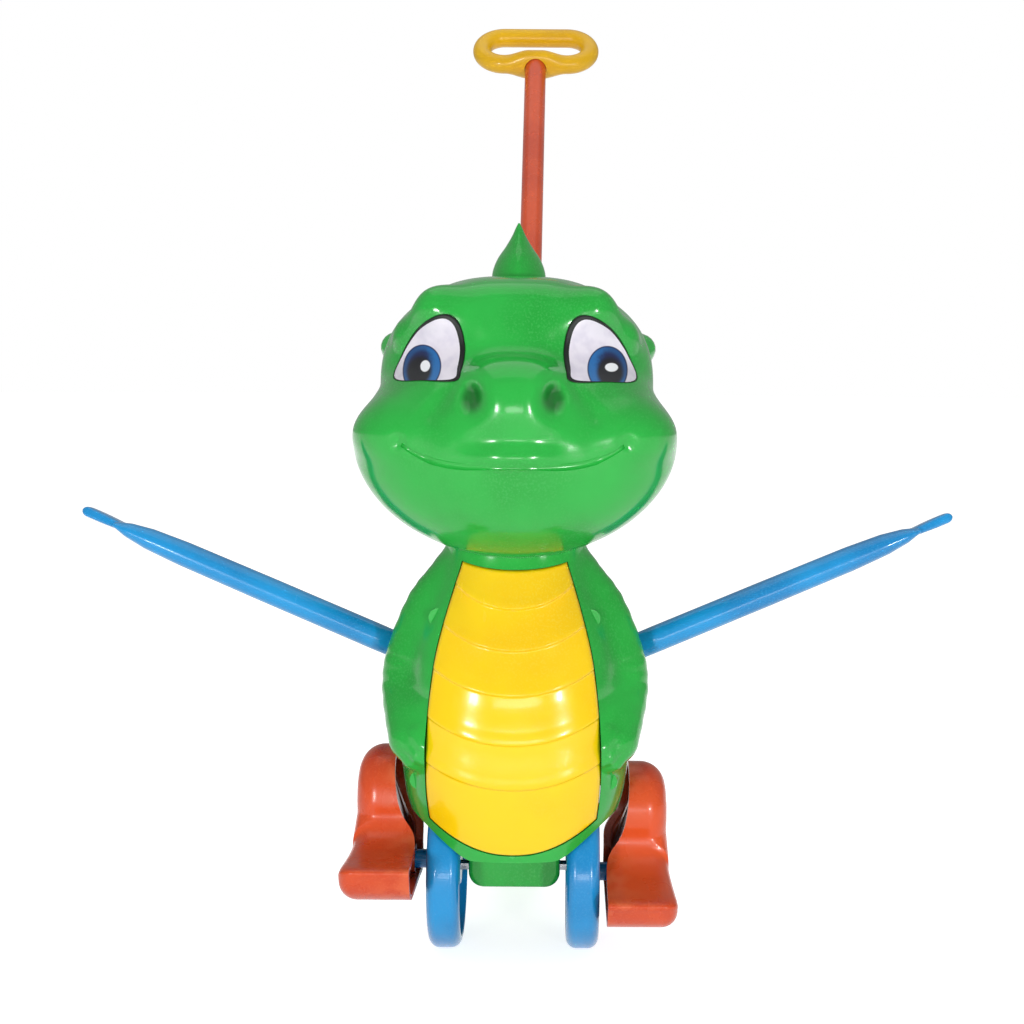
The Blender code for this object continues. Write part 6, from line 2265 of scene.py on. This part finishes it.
@dataclass
class Studio:
    """The pale floor, the soft lamps, the white surround and the camera."""

    camera_x: float = 0.01565
    camera_back: float = 0.57597
    camera_z: float = 0.23304
    pitch: float = math.radians(5.81)
    roll: float = math.radians(0.43)
    focal: float = 1478.41
    sensor: float = 36.0
    frame_pixels: float = 1024.0
    middle_column: float = 556.50
    floor_radius: float = 9.0
    floor_rise: float = 0.02
    clip: tuple = (0.01, 50.0)
    surround: float = 0.42
    aim_height: float = 0.16
    lamps: tuple = (
        ("lamp_front_left", (-0.55, -1.40, 0.17), (0.18, 0.18), 5.2),
        ("lamp_front_right", (0.60, -1.30, 0.16), (0.11, 0.16), 4.6),
        ("lamp_low", (0.05, -1.75, 0.12), (0.60, 0.20), 2.6),
        ("lamp_above", (0.0, 0.10, 1.70), (1.60, 1.60), 5.5),
    )

    def floor(self) -> None:
        """Builds the floor as a wide disc that rises very slightly far away."""
        angle, radius = circle(96), np.geomspace(0.3, self.floor_radius, 24)[:, None]
        rise = self.floor_rise * ease(radius, 0.6 * self.floor_radius, self.floor_radius)
        draft = Draft()
        grid = draft.add(joined(radius * np.cos(angle), radius * np.sin(angle), rise))
        draft.skin(grid, ring=True)
        draft.cap(grid[0])
        made = draft.make("studio_floor", PaleFloor().material())
        if made.data.polygons[0].normal.z < 0:
            made.data.flip_normals()

    def world(self) -> None:
        """Gives the scene its even light and a surround that the camera sees as white."""
        world = bpy.data.worlds.new("white_surround")
        bpy.context.scene.world = world
        world.use_nodes = True
        tree = world.node_tree
        tree.nodes.clear()
        path = tree.nodes.new("ShaderNodeLightPath")
        seen = tree.nodes.new("ShaderNodeMath")
        seen.operation = "MAXIMUM"
        for index, kind in enumerate(("Is Camera Ray", "Is Transmission Ray")):
            tree.links.new(path.outputs[kind], seen.inputs[index])
        plain, white = (tree.nodes.new("ShaderNodeBackground") for _ in range(2))
        plain.inputs["Strength"].default_value = self.surround
        mix = tree.nodes.new("ShaderNodeMixShader")
        tree.links.new(seen.outputs[0], mix.inputs[0])
        for index, node in ((1, plain), (2, white)):
            node.inputs["Color"].default_value = (1.0, 1.0, 1.0, 1.0)
            tree.links.new(node.outputs[0], mix.inputs[index])
        output = tree.nodes.new("ShaderNodeOutputWorld")
        tree.links.new(mix.outputs[0], output.inputs[0])

    def light(self) -> None:
        """Hangs the soft lamps."""
        aim = Vector((0.0, Draft.shift.y, self.aim_height))
        for name, place, size, power in self.lamps:
            lamp = bpy.data.lights.new(name, "AREA")
            lamp.shape = "RECTANGLE"
            lamp.size, lamp.size_y = size
            lamp.energy = power
            made = bpy.data.objects.new(name, lamp)
            turn = (aim - Vector(place)).to_track_quat("-Z", "Y").to_matrix().to_4x4()
            made.matrix_world = Matrix.Translation(Vector(place)) @ turn
            bpy.context.scene.collection.objects.link(made)

    def camera(self) -> None:
        """Sets up the camera at the photograph's place."""
        lens = bpy.data.cameras.new("photo_camera")
        lens.sensor_width = self.sensor
        lens.lens = self.focal / self.frame_pixels * self.sensor
        lens.shift_x = -(self.middle_column - self.frame_pixels / 2.0) / self.frame_pixels
        lens.clip_start, lens.clip_end = self.clip
        made = bpy.data.objects.new("photo_camera", lens)
        place = Vector((self.camera_x, Draft.shift.y - self.camera_back, self.camera_z))
        tilt = Matrix.Rotation(math.pi / 2.0 - self.pitch, 4, "X")
        made.matrix_world = Matrix.Translation(place) @ tilt @ Matrix.Rotation(self.roll, 4, "Z")
        bpy.context.scene.collection.objects.link(made)
        bpy.context.scene.camera = made

    def build(self) -> None:
        """Builds the whole studio."""
        self.floor()
        self.world()
        self.light()
        self.camera()
        bpy.context.scene.view_settings.view_transform = "Standard"


def main() -> None:
    """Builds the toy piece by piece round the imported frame."""
    logging.basicConfig(level=logging.INFO, format="%(name)s: %(message)s")
    for leftover in list(bpy.data.objects):
        bpy.data.objects.remove(leftover)
    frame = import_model()
    bench = Bench(frame["nodes"])
    studio = Studio()
    studio.build()
    wings, stick, gear = Wings(bench), Stick(bench), RollingGear(bench)
    torso = Torso(bench)
    torso.build(wings, stick)
    Head(bench, torso).build()
    gear.build()
    Feet(bench, gear, torso).build()
    wings.build()
    stick.build()
    Tail(bench).build()


if __name__ == "__main__":
    main()
